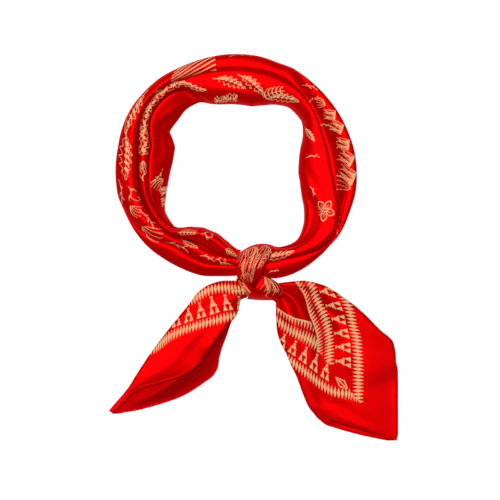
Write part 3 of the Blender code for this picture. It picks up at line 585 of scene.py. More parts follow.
def dashes():
    """A band of short slanting dashes with a fine line beside them."""
    made = [stroke((0, -0.12), (1, -0.12), 0.03, 0.016, 0.012)]
    for x in 0.04 + 0.12 * np.arange(8):
        made.append(stroke((x, -0.05), (x + 0.08, 0.09), 0, 0.026, 0.018, 2))
    return made


def lines():
    """Fine lines close together, a few of them broken."""
    made = []
    for i in range(6):
        y = 0.055 * (i - 2.5)
        end = (0.62 + 0.05 * ((i * 3) % 5), y * 0.8)
        made.append(stroke((0.04 * ((i * 5) % 7), y), end, 0.03 * math.sin(2 * i), 0.014, 0.012))
        if i % 2:
            made.append(stroke((0.78, y * 0.7), (1.0, y * 0.5), 0, 0.013, 0.010, 3))
    return made


DRAWINGS = (leaf, sprig, fan, star_flower, grass, tendril, frond, twig, lace, dashes, lines)
MOTIFS = {draw.__name__: draw() for draw in DRAWINGS}
BAND_LINE = 0.29        # half the width of the thinnest line printed on the band
KNOT_LINE = 0.19        # and on the knot, where the cloth is drawn tight


def placed(kind, x, y, heading, size, least):
    """A motif's strokes turned to a heading in degrees and set down at this size."""
    swing = math.radians(heading)
    turn = np.array(((math.cos(swing), math.sin(swing)), (-math.sin(swing), math.cos(swing))))
    return [Stroke(np.array((x, y)) + size * s.points @ turn, np.maximum(size * s.radii, least))
            for s in MOTIFS[kind]]


def print_distance(places, strokes):
    """How far each place lies outside the nearest printed line; inside one it is negative."""
    found = np.full(len(places), FAR)
    for line in strokes:
        reach = line.radii.max() + FAR
        low, high = line.points.min(axis=0) - reach, line.points.max(axis=0) + reach
        near = np.nonzero(np.all((places > low) & (places < high), axis=1))[0]
        here, best = places[near], found[near]
        for a, b, ra, rb in zip(line.points, line.points[1:], line.radii, line.radii[1:]):
            way = b - a
            t = np.clip(((here - a) @ way) / max(float(way @ way), 1e-9), 0, 1)
            gap = np.linalg.norm(here - a - t[:, None] * way, axis=1) - (ra + (rb - ra) * t)
            best = np.minimum(best, gap)
        found[near] = best
    return found


# The folds of the band each show their own part of the print. A motif's heading is 0 where it runs
# on round the ring with the turn, and 90 where it points outward.
ON_BAND = "kind turn across heading size"
BAND_PRINT = (
    table(ON_BAND,
        ("fan", 141, 3, 6, 50), ("twig", 176, 5, 8, 18), ("leaf", 129, 4, 178, 34),
        ("leaf", 107, 3, 182, 36), ("sprig", 137, -5, 196, 13), ("tendril", 82, 1, 196, 18),
        ("twig", 86, 9, 172, 20), ("frond", 72, 4, 205, 12), ("twig", 68, -2, 178, 20),
        ("frond", 60, 5, 180, 22), ("twig", 47, 8, 184, 26), ("leaf", 38, -4, 172, 18),
        ("twig", 24, 4, 180, 16), ("twig", 217, 2, 40, 16), ("twig", 226, -3, 70, 14),
        ("frond", 233, 10, 215, 11), ("twig", 241, -6, 60, 12), ("grass", 240, 13, 236, 12),
        ("grass", 248, 14, 226, 13), ("grass", 256.5, 15, 246, 13), ("grass", 265, 15, 234, 15),
        ("grass", 273.5, 15, 242, 17), ("frond", 279, 12, 238, 18), ("twig", 302, 5, 190, 14),
        ("twig", 343, 3, 186, 9), ("tendril", 14, 2, 176, 12), ("sprig", 11, 6, 176, 13),
    ),
    table(ON_BAND,
        ("lace", 100, 0, 2, 34), ("lace", 124, 1, 4, 30), ("frond", 96, 0, 176, 10),
        ("leaf", 146, 2, -14, 18), ("tendril", 84, 0, 0, 12), ("leaf", 168, 4, -24, 26),
        ("leaf", 183, 4, -30, 26), ("sprig", 199, -11, 40, 20), ("leaf", 204, -9, 24, 26),
        ("lace", 162, -16, 2, 24), ("leaf", 238, -10, 12, 15), ("twig", 259, -18, 80, 12),
        ("star_flower", 294.4, 4.2, 0, 17), ("twig", 282, -14, 30, 10), ("sprig", 44, 1, 186, 14),
        ("tendril", 30, -1, 182, 14), ("leaf", 342, 1, 168, 24), ("sprig", 9, 1, 176, 12),
    ),
    table(ON_BAND,
        ("grass", 76, -9, 100, 8), ("grass", 68, -9, 92, 8), ("twig", 92, -2, 140, 15),
        ("frond", 84, -4, 120, 12),
    ),
)
RING_PRINT = [
    [line for m in BAND_PRINT[fold] for line in placed(
        m.kind, math.radians(m.turn) * FOLD_RADIUS[fold], m.across, m.heading, m.size, BAND_LINE)]
    for fold in (OVER, MIDDLE, INNER)
]


def layered(height, top):
    """How deep the steps between the layers go at this height up a side that ends at top."""
    step = 1 - np.abs(np.sin(math.pi * height / LAYER_STEP)) ** 0.5
    foot = np.clip(height / LAYER_FADES[0], 0, 1)
    return LAYER_DEPTH * step * foot * np.clip((top - height) / LAYER_FADES[1], 0, 1)


def band_side(edge, bulge, inward):
    """Radius and height of the points from the bulge down one side of the band to the surface."""
    made = []
    for step in range(1, SIDE_STEPS + 1):
        swing = math.pi / 2 * step / SIDE_STEPS
        z = bulge * (1 - math.sin(swing))
        made.append((edge + inward * (FOOT_INSET * (1 - math.cos(swing)) + layered(z, bulge)), z))
    return made


def ring_section(turns):
    """Radius, height and fold of each point once round the section, at all these turns."""
    at = {name: line(turns) for name, line in RING_LINES.items()}
    none = 0.0 * turns
    bounds = (
        (at["outer"], at["outer_bulge"]),
        (at["outer"] - at["outer_inset"], at["outer_low"]),
        (at["main"], at["main_low"]),
        (at["second"], at["second_low"]),
        (at["inner"], at["inner_bulge"]),
    )
    tucks = (none, none, at["main_tuck"], at["second_tuck"], none)
    leans = [at[roll + "_lean"] for roll in ("outer", "main", "middle", "inner")]
    fulls = (OUTER_FULLNESS, at["main_full"], MIDDLE_FULLNESS, INNER_FULLNESS)
    section = [(*bounds[0], OVER)]
    for k, steps in enumerate(ROLL_STEPS):
        (a, low_a), (b, low_b) = bounds[k:k + 2]
        top = np.maximum(RING_CRESTS[k](turns), np.maximum(low_a, low_b) + CREST_OVER_CREASE)
        for part in np.arange(1, steps + 1) / steps:
            across = (1 - math.cos(math.pi * part)) / 2
            low = low_a + (low_b - low_a) * across
            swell = np.maximum(np.sin(math.pi * part ** leans[k]), 0.0) ** fulls[k]
            tuck = (1 - swell) ** 2 * (tucks[k] if part < 0.5 else tucks[k + 1])
            section.append((a + (b - a) * across + tuck, low + (top - low) * swell, ROLL_FOLD[k]))
    (outer, outer_bulge), (inner, inner_bulge) = bounds[0], bounds[-1]
    section += [(r, z, INNER) for r, z in band_side(inner, inner_bulge, 1)]
    for share in np.arange(1, FOOT_POINTS) / FOOT_POINTS:
        foot = (inner + FOOT_INSET) * (1 - share) + (outer - FOOT_INSET) * share
        section.append((foot, none, INNER if share < 0.5 else OVER))
    section += [(r, z, OVER) for r, z in reversed(band_side(outer, outer_bulge, -1))]
    radius, height, fold = zip(*section)
    return np.stack(radius, axis=1), np.stack(height, axis=1), np.array(fold)


def distance_from_crests(radius, height):
    """Each point's distance from its own roll's crest round the section, outward positive."""
    steps = np.hypot(np.diff(radius, axis=1), np.diff(height, axis=1))
    round_it = np.concatenate([np.zeros((len(radius), 1)), np.cumsum(steps, axis=1)], axis=1)
    first = 1 + ROLL_STEPS[0]
    crests = []
    for steps_in_roll in ROLL_STEPS[1:]:
        crests.append(round_it[:, first + steps_in_roll // 2][:, None])
        first += steps_in_roll
    return round_it, [crest - round_it for crest in crests]


def ring_stretch(stretch, finish):
    """One stretch of the folded band, with its presses, gathers and print."""
    count = max(2, round((stretch.end - stretch.start) / RING_STEP))
    turns = np.linspace(stretch.start, stretch.end, count + 1)
    radius, height, fold = ring_section(turns)
    round_it, from_crest = distance_from_crests(radius, height)
    swing = np.radians(turns)[:, None]
    grid = np.stack([RING_CENTRE[0] - radius * np.sin(swing),
                     RING_CENTRE[1] - radius * np.cos(swing), height], axis=-1)
    normals = surface_normals(grid, True)
    if normals[:, ROLL_STEPS[0] + ROLL_STEPS[1] // 2, 2].mean() < 0:
        normals = -normals
    move = np.zeros_like(radius)
    turn = np.broadcast_to(turns[:, None], radius.shape)
    for press in PRESSES:
        ridge = press.height * soft_ridge(press, turn, from_crest[press.fold], PRESS_FULLNESS)
        move += np.where(fold[None, :] == press.fold, ridge, 0.0)
    for gather in GATHERS:
        near = np.exp(-np.abs(turn - gather.turn) / gather.reach * GATHER_FADE)
        drift = GATHER_DRIFT[0] * np.sin(GATHER_DRIFT[1] * round_it + gather.turn)
        wave = np.sin(GATHER_WAVES * round_it + drift)
        move += GATHER_HEIGHT * near * wave
    move *= smooth_step(height, 1.0, 4.0)
    grid = grid + normals * move[..., None]
    grid[..., 2] = np.maximum(grid[..., 2], 0.0)
    printed = np.full(radius.shape, FAR)
    for which in (OVER, MIDDLE, INNER):
        along = np.radians(turn) * FOLD_RADIUS[which]
        across = from_crest[which]
        if which == MIDDLE:
            crest = radius[:, [sum(ROLL_STEPS[:2]) + ROLL_STEPS[2] // 2]]
            across = across + (crest - FOLD_RADIUS[MIDDLE]) * smooth_step(turn, *SPREADS)
        here = np.broadcast_to(fold[None, :] == which, radius.shape)
        places = np.stack([along[here], across[here]], axis=1)
        printed[here] = print_distance(places, RING_PRINT[which])
    quads = grid_quads(*radius.shape, True)
    name = stretch.name.replace("ring", "band")
    piece = make_shell(name, grid.reshape(-1, 3), quads, finish, -1.0, printed)
    ride_as(piece, stretch.name)
    long = float(np.radians(stretch.end - stretch.start) * np.mean(radius))
    flat_from_area(piece, long)


# ---------------------------------------------------------------- the knot's pleats and print

SKIRT_STEPS = 6
SKIRT_BULGE = 0.7
WRAP_FOOT_INSET = 0.8
PLEAT_SHARE = 0.75      # of the pleats' stated height that stands up
PLEAT_SINK = 0.4        # and how far the valleys between them go down
PLEAT_ENDS = (0.06, 0.92)   # beyond these shares of a wrap's length they fade no further

# Pleats run the length of a wrap. lean moves a pleat's crest off its middle: under 1 to the left.
PLEAT = "start height lean"
OVER_PLEATS = table(PLEAT,
    (0, 0.7, 0.8), (0.09, 1.2, 0.6), (0.19, 0.9, 1.5), (0.28, 1.5, 0.65), (0.40, 1.1, 1.3),
    (0.50, 1.4, 0.7), (0.61, 0.9, 0.8), (0.72, 1.6, 1.7), (0.85, 1, 0.7), (0.94, 0.6, 1),
)
CROSS_PLEATS = table(PLEAT,
    (0, 0.3, 0.5), (0.33, 0.8, 0.6), (0.48, 0.7, 1.4), (0.60, 0.9, 0.7), (0.74, 0.7, 1.2),
    (0.87, 0.6, 1),
)
SIDE_PLEATS = table(PLEAT, (0, 0.4, 0.7), (0.22, 0.6, 1.3), (0.42, 0.4, 1), (0.62, 0.3, 1))

# Printed motifs on the wraps: where across and how far along, in shares of the wrap.
ON_WRAP = "kind across along heading size"
OVER_PRINT = table(ON_WRAP,
    ("frond", 0.12, 0.06, 88, 22), ("leaf", 0.24, 0.30, 86, 20), ("frond", 0.36, 0.04, 92, 26),
    ("leaf", 0.48, 0.12, 92, 22), ("dashes", 0.61, 0.24, 95, 20), ("frond", 0.74, 0.04, 98, 24),
    ("sprig", 0.88, 0.16, 98, 18), ("frond", 0.40, 0.52, 90, 18), ("twig", 0.18, 0.56, 86, 14),
    ("twig", 0.68, 0.50, 98, 14), ("lines", 0.56, 0.60, 92, 12),
)
CROSS_PRINT = table(ON_WRAP,
    ("leaf", 0.46, 0.06, 82, 16), ("frond", 0.60, 0.06, 88, 20), ("dashes", 0.73, 0.16, 88, 14),
    ("frond", 0.88, 0.12, 92, 18), ("twig", 0.52, 0.40, 84, 12),
)
SIDE_PRINT = table(ON_WRAP,
    ("dashes", 0.16, 0.08, 84, 12), ("dashes", 0.34, 0.16, 84, 12), ("frond", 0.24, 0.4, 84, 10),
    ("dashes", 0.12, 0.6, 84, 7),
)


def pleated(u, pleats):
    """The height that the pleats add across a wrap."""
    ends = [p.start for p in pleats[1:]] + [1.0]
    height = np.zeros_like(u)
    for pleat, end in zip(pleats, ends):
        t = np.clip((u - pleat.start) / (end - pleat.start), 0, 1)
        covered = (u >= pleat.start) & (u <= end)
        rise = pleat.height * np.sin(math.pi * t ** pleat.lean) ** 0.7
        height = np.where(covered, rise, height)
    return height


def dome(u):
    return (4 * u * (1 - u)) ** 0.42


def crisp_left_dome(u):
    """High from the left edge on, falling away to the right."""
    return np.sin(math.pi * np.minimum(1.0, 0.12 + 0.88 * u)) ** 0.5


def side_roll_profile(u):
    """A roll along the left edge and a low floor beside it, up to the next wraps."""
    roll = np.sin(math.pi * np.minimum(u / SIDE_ROLL_SHARE, 1.0)) ** 0.7
    return np.where(u < SIDE_ROLL_SHARE, roll, 0.0)


def wrap(name, form, count_along, count_across, pleats, profile, design, finish):
    """One wrap of the knot: a pleated top whose rim falls to the surface all round."""
    rows = rows_between(form, count_along)
    u = np.linspace(0.0, 1.0, count_across + 1)
    ridges = pleated(u, pleats)
    grid = np.zeros((len(rows), len(u), 3))
    for i, row in enumerate(rows):
        share = i / (len(rows) - 1)
        left, right = point(row.left_x, row.left_y), point(row.right_x, row.right_y)
        grid[i] = left + (right - left) * u[:, None]
        grid[i, :, 1] += row.bow * 4 * u * (1 - u)
        edge = row.left_edge + (row.right_edge - row.left_edge) * u
        fade = math.sin(math.pi * min(max(share, PLEAT_ENDS[0]), PLEAT_ENDS[1])) ** 0.5
        pleat = fade * (PLEAT_SHARE * ridges - PLEAT_SINK)
        grid[i, :, 2] = edge + (row.crest - edge) * profile(u) + pleat
    long = lengths_along(grid[:, count_across // 2])[-1]
    wide = lengths_along(grid[len(rows) // 2])[-1]
    # the print lies square to the wrap's own width and length, so it narrows where the wrap does
    along, across = np.meshgrid(np.linspace(0, long, len(rows)), u * wide, indexing="ij")
    strokes = [line for m in design for line in placed(
        m.kind, m.across * wide, m.along * long, m.heading, m.size, KNOT_LINE)]
    printed = print_distance(np.stack([across.ravel(), along.ravel()], axis=1), strokes)

    index = np.arange(len(rows) * len(u)).reshape(len(rows), len(u))
    quads = [grid_quads(len(rows), len(u), False)]
    rim = np.concatenate([index[0], index[1:-1, -1], index[-1, ::-1], index[-2:0:-1, 0]])
    points = grid.reshape(-1, 3)
    rim_points = points[rim]
    outward = rim_points - rim_points.mean(axis=0)
    outward[:, 2] = 0
    outward /= np.linalg.norm(outward, axis=1, keepdims=True)
    loops, last = [points], rim
    for step in range(1, SKIRT_STEPS + 1):
        share = step / SKIRT_STEPS
        out = SKIRT_BULGE * math.sin(math.pi * share) - WRAP_FOOT_INSET * share
        loop = rim_points + outward * out
        loop[:, 2] = rim_points[:, 2] * math.cos(math.pi / 2 * share)
        loops.append(loop)
        this = np.arange(len(rim)) + index.size + (step - 1) * len(rim)
        quads.append(np.stack([this, np.roll(this, -1), np.roll(last, -1), last], axis=-1))
        last = this
    printed = np.concatenate([printed, np.full(len(rim) * SKIRT_STEPS, FAR)])
    piece = make_shell(name.removeprefix("knot_"), np.concatenate(loops),
                       np.concatenate(quads)[:, ::-1], finish, -1.0, printed)
    ride_as(piece, name)
    flat_from_area(piece, long)


# ---------------------------------------------------------------- the border on the corners
# Pins say where places of the border lie on the folded corners, seen from above: along is measured
# along the edge of the square, from the corner, and across from the border's outer row inwards.

PIN = "x y along across"
LEFT_PINS = table(PIN,
    (-86.7, -86.9, 0, 0), (-75.1, -77.3, 21, 0), (-61.5, -70.5, 38, 0), (-47.1, -65.6, 54, 0),
    (-32.5, -61.8, 69.5, 0), (-22.9, -58.9, 79.5, 0), (-15.2, -57.4, 88, 0),
    (-51.9, -43.4, 51, 24.5), (-45.1, -38.5, 60.5, 24.5), (-37.3, -35.1, 69.5, 24.5),
    (-29.7, -33.8, 77.5, 24.5), (-21, -33.8, 87, 24.5), (-15.2, -35.7, 93, 24.5),
    (-24.8, -25.1, 83, 34.5), (-15.2, -24.5, 94, 34.5), (-60.5, -107, 45, -34),
    (-97.9, -117.5, 5, -34), (-36.1, -83.5, 70, -24), (-116.1, -127, -15, -34),
)
RIGHT_PINS = table(PIN,
    (90.9, -130.9, 0, 0), (91, -116.1, 15, 0), (91, -103.1, 28, 0), (90.5, -90, 41, 0),
    (89.4, -77, 54, 0), (86.7, -68.3, 63.2, 0), (84.5, -58.6, 73.2, 0), (82.3, -49.9, 82.2, 0),
    (79.6, -43.3, 89.2, 0), (76.1, -39, 94.8, 0), (65.5, -93.4, 36, 24.5), (65.5, -79.2, 52, 24.5),
    (64.4, -70.5, 61, 24.5), (62.7, -61.8, 70, 24.5), (59, -53.1, 79.5, 24.5),
    (55.2, -44.4, 89, 24.5), (51.3, -34.6, 99.5, 24.5), (48.1, -27, 107.8, 24.5),
    (55.7, -79.2, 58, 34.5), (54.6, -72.6, 66, 34.5), (49.2, -57.4, 84, 34.5),
    (43.8, -39, 104, 34.5), (36.6, -28.1, 118, 34.5), (125.7, -131.4, 0, -34),
    (125.7, -96.6, 35, -34), (114.4, -70.5, 62, -28), (125.7, -167.9, -36, -34),
)
PANEL_PINS = table(PIN,  # the right corner's left panel
    (88.3, -127.9, 0, 0), (84, -126, 7, 0), (72, -124.8, 19, 0), (61.2, -119.5, 31, 0),
    (52.5, -112.9, 42, 0), (44.8, -106.4, 52, 0), (36.1, -99.9, 63, 0), (30.7, -95.5, 70, 0),
    (54.6, -82.5, 48, 24.5), (48.1, -78.1, 57, 24.5), (40.5, -74.8, 67, 24.5),
    (30.7, -69.9, 79, 24.5), (22.5, -62.9, 90, 24.5), (47, -62.9, 62, 34.5),
    (38.3, -60.7, 72, 34.5), (28.5, -56.9, 84, 34.5), (125.7, -167.9, -34, -34),
    (81.3, -157.5, 13, -34), (57.9, -148.8, 38, -34), (46.5, -140.1, 52, -34),
)


def border_places(pins, places, stiffness=2.0):
    """Along and across the border at each place in plan: a thin plate bent through the pins."""
    def swell(a, b):
        d = np.linalg.norm(a[:, None] - b[None], axis=2)
        return d * d * np.log(np.maximum(d, 1e-6))

    def sloped(at):
        return np.concatenate([np.ones((len(at), 1)), at], axis=1)

    at = np.array([(p.x, p.y) for p in pins])
    goal = np.array([(p.along, p.across) for p in pins])
    bent = swell(at, at) + stiffness * np.eye(len(at))
    system = np.block([[bent, sloped(at)], [sloped(at).T, np.zeros((3, 3))]])
    weights = np.linalg.solve(system, np.concatenate([goal, np.zeros((3, 2))]))
    return swell(places, at) @ weights[:-3] + sloped(places) @ weights[-3:]


# ---------------------------------------------------------------- the free corners

REVERSE = (0.0, -90.0)  # a place on the border's map that stands for the reverse of the cloth
REVERSE_FROM = -60.0    # and how far across the map that begins
CORNER_LOW = 0.5        # the middle of the solid's wall where it lies on the surface
ROWS_PER_GAP = 11
POINTS_PER_GAP = 12
POINTS_ACROSS = 120


def section_left(row):
    """The left corner's section: back edge, back layer, fold, front panel, lip and curl."""
    back, fold = point(row.back_x, row.back_y), point(row.fold_x, row.fold_y)
    front = point(row.front_x, row.front_y)
    low = CORNER_LOW
    inward, over = unit(back - fold), unit(front - fold)
    reach, depth = np.linalg.norm(front - fold), np.linalg.norm(back - fold)
    top = low + row.nose
    bend = min(row.nose * 0.55, reach * 0.35, depth * 0.3)
    start = bend * 0.9
    panel = reach - start
    turned = min(1.0, row.curl / LEAST_TURN)
    lead = min(LONGEST_LEAD, 0.2 * panel)
    curl = max(row.curl, LEAST_TURN)
    lip = [(p.ahead, p.up) for p in LIP[:-1]] + [(LIP[-1].ahead - curl, LIP[-1].up)]
    if turned < 1.0:
        rest = 1 - turned
        lip = shortened([(LIP[0].ahead - lead, LIP[0].up)] + lip, turned)
        lip = [(x - LIP[0].ahead * rest, z - LIP[0].up * rest) for x, z in lip]

    def at(base, direction, distance, height):
        return base + direction * distance + point(0, 0, height)

    points = [
        at(back, inward, 0, low),
        at(fold, inward, bend * 1.5 + (depth - bend * 1.5) * 0.66, low),
        at(fold, inward, bend * 1.5 + (depth - bend * 1.5) * 0.33, low),
        at(fold, inward, bend * 1.5, low),
        at(fold, inward, bend * 0.35, low + row.nose * 0.16),
        at(fold, inward, 0.0, low + row.nose * 0.5),
        at(fold, over, bend * 0.4, top - row.nose * 0.12),
        at(fold, over, start + panel * 0.14, top + (row.crest - top) * 0.35),
        at(fold, over, start + panel * 0.42, max(row.crest, top)),
        at(fold, over, start + panel * 0.72, row.crest * 0.7 + row.lip * 0.3),
    ]
    return points + [at(front, over, x, row.lip + z) for x, z in lip]


def section_right(row):
    """The right corner's section: flap, left roll, hollow, ridge, undercut, right panel, flap."""
    left, right = point(row.left_x, row.left_y), point(row.right_x, row.right_y)
    width = np.linalg.norm(right - left)
    across = (right - left) / width
    low = CORNER_LOW
    edge = row.fold * width
    over = min(1.0, max(0.0, (row.ridge - row.valley - 1.0) / 3.0))
    small = min(1.0, width / 40.0)

    def at(distance, height):
        return left + across * distance + point(0, 0, max(height, low))

    def turned_under(flap, top, sign, start):
        """Flap end, flap middle, nose and shoulder, or as much of them as the flap has."""
        rise = top - low
        bend = min(rise * 0.5, 2.2)
        full = max(flap, LEAST_TURN)
        path = [
            (3.2 * small + bend * 0.45, rise), (bend * 0.45, rise * 0.88), (0.0, rise * 0.5),
            (bend * 0.3, rise * 0.16), (max(full * 0.5, bend * 1.1), 0.0), (full, 0.0),
        ]
        path = shortened(path, flap / LEAST_TURN) if flap < LEAST_TURN else path[1:]
        return [at(start + sign * x, low + z) for x, z in reversed(path)]

    drop = row.ridge - row.valley
    calm = 1 - over
    points = turned_under(row.left_flap, row.roll, 1, 0.0)
    points += [
        at(max(6.0 * small, 0.25 * edge), row.roll),
        at(0.55 * edge, row.hollow),
        at((0.82 - 0.12 * calm) * edge, row.ridge),
        at(edge - (0.3 + 0.12 * calm * edge) * small, row.ridge - drop * 0.35),
        at(edge + (0.9 - 1.2 * over) * small, row.valley + drop * 0.28),
        at(edge + (2.6 + 5.0 * calm) * small, row.valley),
        at(edge + (width - edge) * 0.45, row.panel),
        at(width - max(6.0 * small, 0.10 * width), row.crest),
    ]
    return points + list(reversed(turned_under(row.right_flap, row.crest, -1, width)))


# Soft pleats run out of the knot into each corner: where across the section, how wide, how high,
# and how far from the knot in rows of the table they fade away.
RUN = "across width height reach"
LEFT_RUNS = table(RUN,
    (0.50, 0.020, 0.9, 2.4), (0.56, 0.018, -0.9, 2), (0.62, 0.022, 0.8, 2.6),
    (0.69, 0.020, -1, 3.2), (0.75, 0.018, 0.7, 2), (0.80, 0.020, -0.6, 3.6),
)
RIGHT_RUNS = table(RUN,
    (0.20, 0.022, 0.6, 2), (0.27, 0.025, -0.9, 2.2), (0.36, 0.022, 0.3, 2), (0.60, 0.020, 0.5, 2),
    (0.70, 0.022, 0.7, 2.4), (0.78, 0.020, -0.6, 2.2),
)

# Broad uneven swells in the open part of each corner: from one row and share across to another.
SWELL = "start start_across end end_across width height"
LEFT_SWELLS = table(SWELL,
    (2, 0.50, 7, 0.66, 0.05, -0.4), (4, 0.74, 9, 0.84, 0.05, 0.4), (7, 0.55, 12, 0.66, 0.06, 0.5),
)
# Where a low layer rises off the surface instead of lying flat.
LEFT_LIFTS = table(SWELL, (1.5, 0.16, 12, 0.25, 0.11, 4.4))
RIGHT_LIFTS = table(SWELL, (8.5, 0.16, 13.5, 0.36, 0.10, 0.8))
RIGHT_SWELLS = table(SWELL,
    (4, 0.22, 8.5, 0.33, 0.06, 0.4), (5.5, 0.72, 9.5, 0.58, 0.07, -0.5),
    (7, 0.30, 12.5, 0.60, 0.08, 0.5), (8.5, 0.44, 13, 0.80, 0.07, -0.4),
    (2, 0.66, 6.5, 0.64, 0.05, -1.8), (2, 0.58, 6, 0.55, 0.04, 0.8),
)


def corner_grid(rows, section, runs, swells, lifts):
    """A free corner as a grid of points, with its pleats and swells, and the point of the section
    and row of the table that each belongs to."""
    grid, controls = [], []
    for row in rows_between(rows, ROWS_PER_GAP):
        fine = spline(np.array(section(row)), POINTS_PER_GAP)
        at = lengths_along(fine)
        places = np.linspace(0, at[-1], POINTS_ACROSS)
        grid.append(evenly(fine, POINTS_ACROSS))
        controls.append(np.interp(places, at, np.arange(len(fine)) / POINTS_PER_GAP))
    grid, controls = np.array(grid), np.array(controls)
    where = (np.arange(len(grid)) / ROWS_PER_GAP)[:, None]
    across = np.linspace(0, 1, POINTS_ACROSS)[None, :]
    normals = surface_normals(grid, False)
    move = np.zeros(grid.shape[:2])
    for run in runs:
        fade = 1 - smooth_step(where, 0.3 * run.reach, run.reach)
        move += run.height * fade * np.exp(-((across - run.across) / run.width) ** 2)
    for swell in swells:
        move += swell.height * soft_ridge(swell, where, across)
    move *= smooth_step(grid[..., 2], 1.0, 3.0)
    grid += np.where(normals[..., 2:] < 0, -normals, normals) * move[..., None]
    # the shell is thinner than the solid's wall, so where it lies flat it goes down to the surface
    grid[..., 2] -= (CORNER_LOW - SILK / 2) * (1 - smooth_step(grid[..., 2], 0.6, 3.0))
    edges = smooth_step(across, 0.0, 0.06) * smooth_step(1 - across, 0.0, 0.06)
    for lift in lifts:
        grid[..., 2] += lift.height * edges * soft_ridge(lift, where, across)
    grid[..., 2] = np.maximum(grid[..., 2], SILK / 2)
    return grid, controls, np.broadcast_to(where, controls.shape)


def flat_size(grid):
    """The greatest width and length of the cloth, laid flat, and its area, in metres."""
    wide = max(lengths_along(row)[-1] for row in grid)
    long = lengths_along(grid[:, grid.shape[1] // 2])[-1]
    a, b = grid[1:, :-1] - grid[:-1, :-1], grid[:-1, 1:] - grid[:-1, :-1]
    area = float(np.linalg.norm(np.cross(a, b), axis=2).sum())
    return (wide * MM, long * MM), min(area, wide * long) * MM * MM


# ---------------------------------------------------------------- hems

HEM_POINTS = 14
HEM_STEP = 0.8
HEM_TAPER = 7.0         # the roll grows to its full size over this length at its ends
HEM_LEAST = 0.3         # and starts at this share of it
HEM_SINK = 0.35         # the cloth's edge lies this far inside the roll
HEM_CLEAR = 0.02        # between the roll and the surface
STITCH_SEAT = 0.72      # the stitches lie this share of the radius in and up from the roll's middle
PINCH_EVERY = 3.8
PINCH = 0.11
STITCH_SIZES = {"Spacing": PINCH_EVERY, "Length": 1.5, "Width": 0.26}
STITCH_SLANT = 0.6      # radians off the line
UP = np.array((0.0, 0.0, 1.0))


def hem(name, edge, inner, finish, thread):
    """A hand-rolled hem along an edge, pinched a little at each stitch, and its row of stitches."""
    along = np.gradient(edge, axis=0)
    along /= np.linalg.norm(along, axis=1, keepdims=True)
    outward = edge - inner
    outward -= along * (outward * along).sum(axis=1, keepdims=True)
    outward[:, 2] = 0
    outward /= np.maximum(np.linalg.norm(outward, axis=1, keepdims=True), 1e-9)
    long = lengths_along(edge)[-1]
    count = max(8, round(long / HEM_STEP))
    both = evenly(np.concatenate([edge, outward], axis=1), count)
    at = np.linspace(0, long, count)
    route, side = both[:, :3], both[:, 3:]
    side /= np.linalg.norm(side, axis=1, keepdims=True)
    ends = smooth_step(np.minimum(at, at[-1] - at), 0.0, HEM_TAPER)
    grown = HEM_LEAST + (1 - HEM_LEAST) * ends
    radius = HEM_RADIUS * (1 - PINCH * np.cos(2 * math.pi * at / PINCH_EVERY) ** 6) * grown
    route = route + side * ((HEM_RADIUS - HEM_SINK) * grown)[:, None]
    route[:, 2] = np.maximum(route[:, 2], radius + HEM_CLEAR)
    swing = np.linspace(0, 2 * math.pi, HEM_POINTS, endpoint=False)[None, :, None]
    ring = side[:, None] * np.cos(swing) + UP * np.sin(swing)
    grid = route[:, None] + ring * radius[:, None, None]
    grid[..., 2] = np.maximum(grid[..., 2], 0.0)
    quads = grid_quads(count, HEM_POINTS, True)
    if np.cross(np.gradient(route, axis=0), side)[:, 2].mean() < 0:
        quads = quads[:, ::-1]
    name, node = name.removeprefix("hem_"), name
    piece = make_shell(name + "_roll", grid.reshape(-1, 3), quads, finish, -1.0)
    ride_as(piece, node)
    seam = route + (UP - side) * (HEM_RADIUS * STITCH_SEAT)
    return [piece, stitch_row(name + "_stitches", seam, thread)]


def stitch_row(name, line, thread):
    """Slanting stitches along a line, set out by a small node tree and then made into a mesh."""
    mesh = bpy.data.meshes.new(name)
    mesh.from_pydata([tuple(p * MM) for p in line], [(i, i + 1) for i in range(len(line) - 1)], [])
    piece = bpy.data.objects.new(name, mesh)
    bpy.context.scene.collection.objects.link(piece)
    lay = piece.modifiers.new("stitches", "NODES")
    lay.node_group = bpy.data.node_groups.get("slanting_stitches") or stitching()
    given = {size: value * MM for size, value in STITCH_SIZES.items()}
    given["Thread"] = thread
    for item in lay.node_group.interface.items_tree:
        if item.item_type == "SOCKET" and item.in_out == "INPUT" and item.name in given:
            lay[item.identifier] = given[item.name]
    seen = bpy.context.evaluated_depsgraph_get()
    made = bpy.data.meshes.new_from_object(piece.evaluated_get(seen))
    piece.modifiers.clear()
    piece.data = made
    made.name = name
    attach(piece, BODY)
    return piece


# ---------------------------------------------------------------- materials


class Val:
    """A number in a material. Sums on it add the nodes that work them out."""

    def __init__(self, paint, socket):
        self.paint, self.socket = paint, socket

    def __abs__(self):
        return self.paint.sum("ABSOLUTE", self)

    def fract(self):
        return self.paint.sum("FRACT", self)

    def sine(self):
        return self.paint.sum("SINE", self)

    def least(self, other):
        return self.paint.sum("MINIMUM", self, other)

    def most(self, other):
        return self.paint.sum("MAXIMUM", self, other)


for sign, how in (("add", "ADD"), ("sub", "SUBTRACT"), ("mul", "MULTIPLY"), ("truediv", "DIVIDE"),
                  ("pow", "POWER")):
    setattr(Val, "__%s__" % sign, lambda a, b, how=how: a.paint.sum(how, a, b))
    setattr(Val, "__r%s__" % sign, lambda a, b, how=how: a.paint.sum(how, b, a))


def add_node(tree, kind, settings=None, **inputs):
    """A new node with these settings. A socket is named, with _ for a blank, or iN by its place,
    and it is linked to a socket or set to a value."""
    made = tree.nodes.new(kind)
    for key, value in (settings or {}).items():
        setattr(made, key, value)
    feed(tree, made, **inputs)
    return made


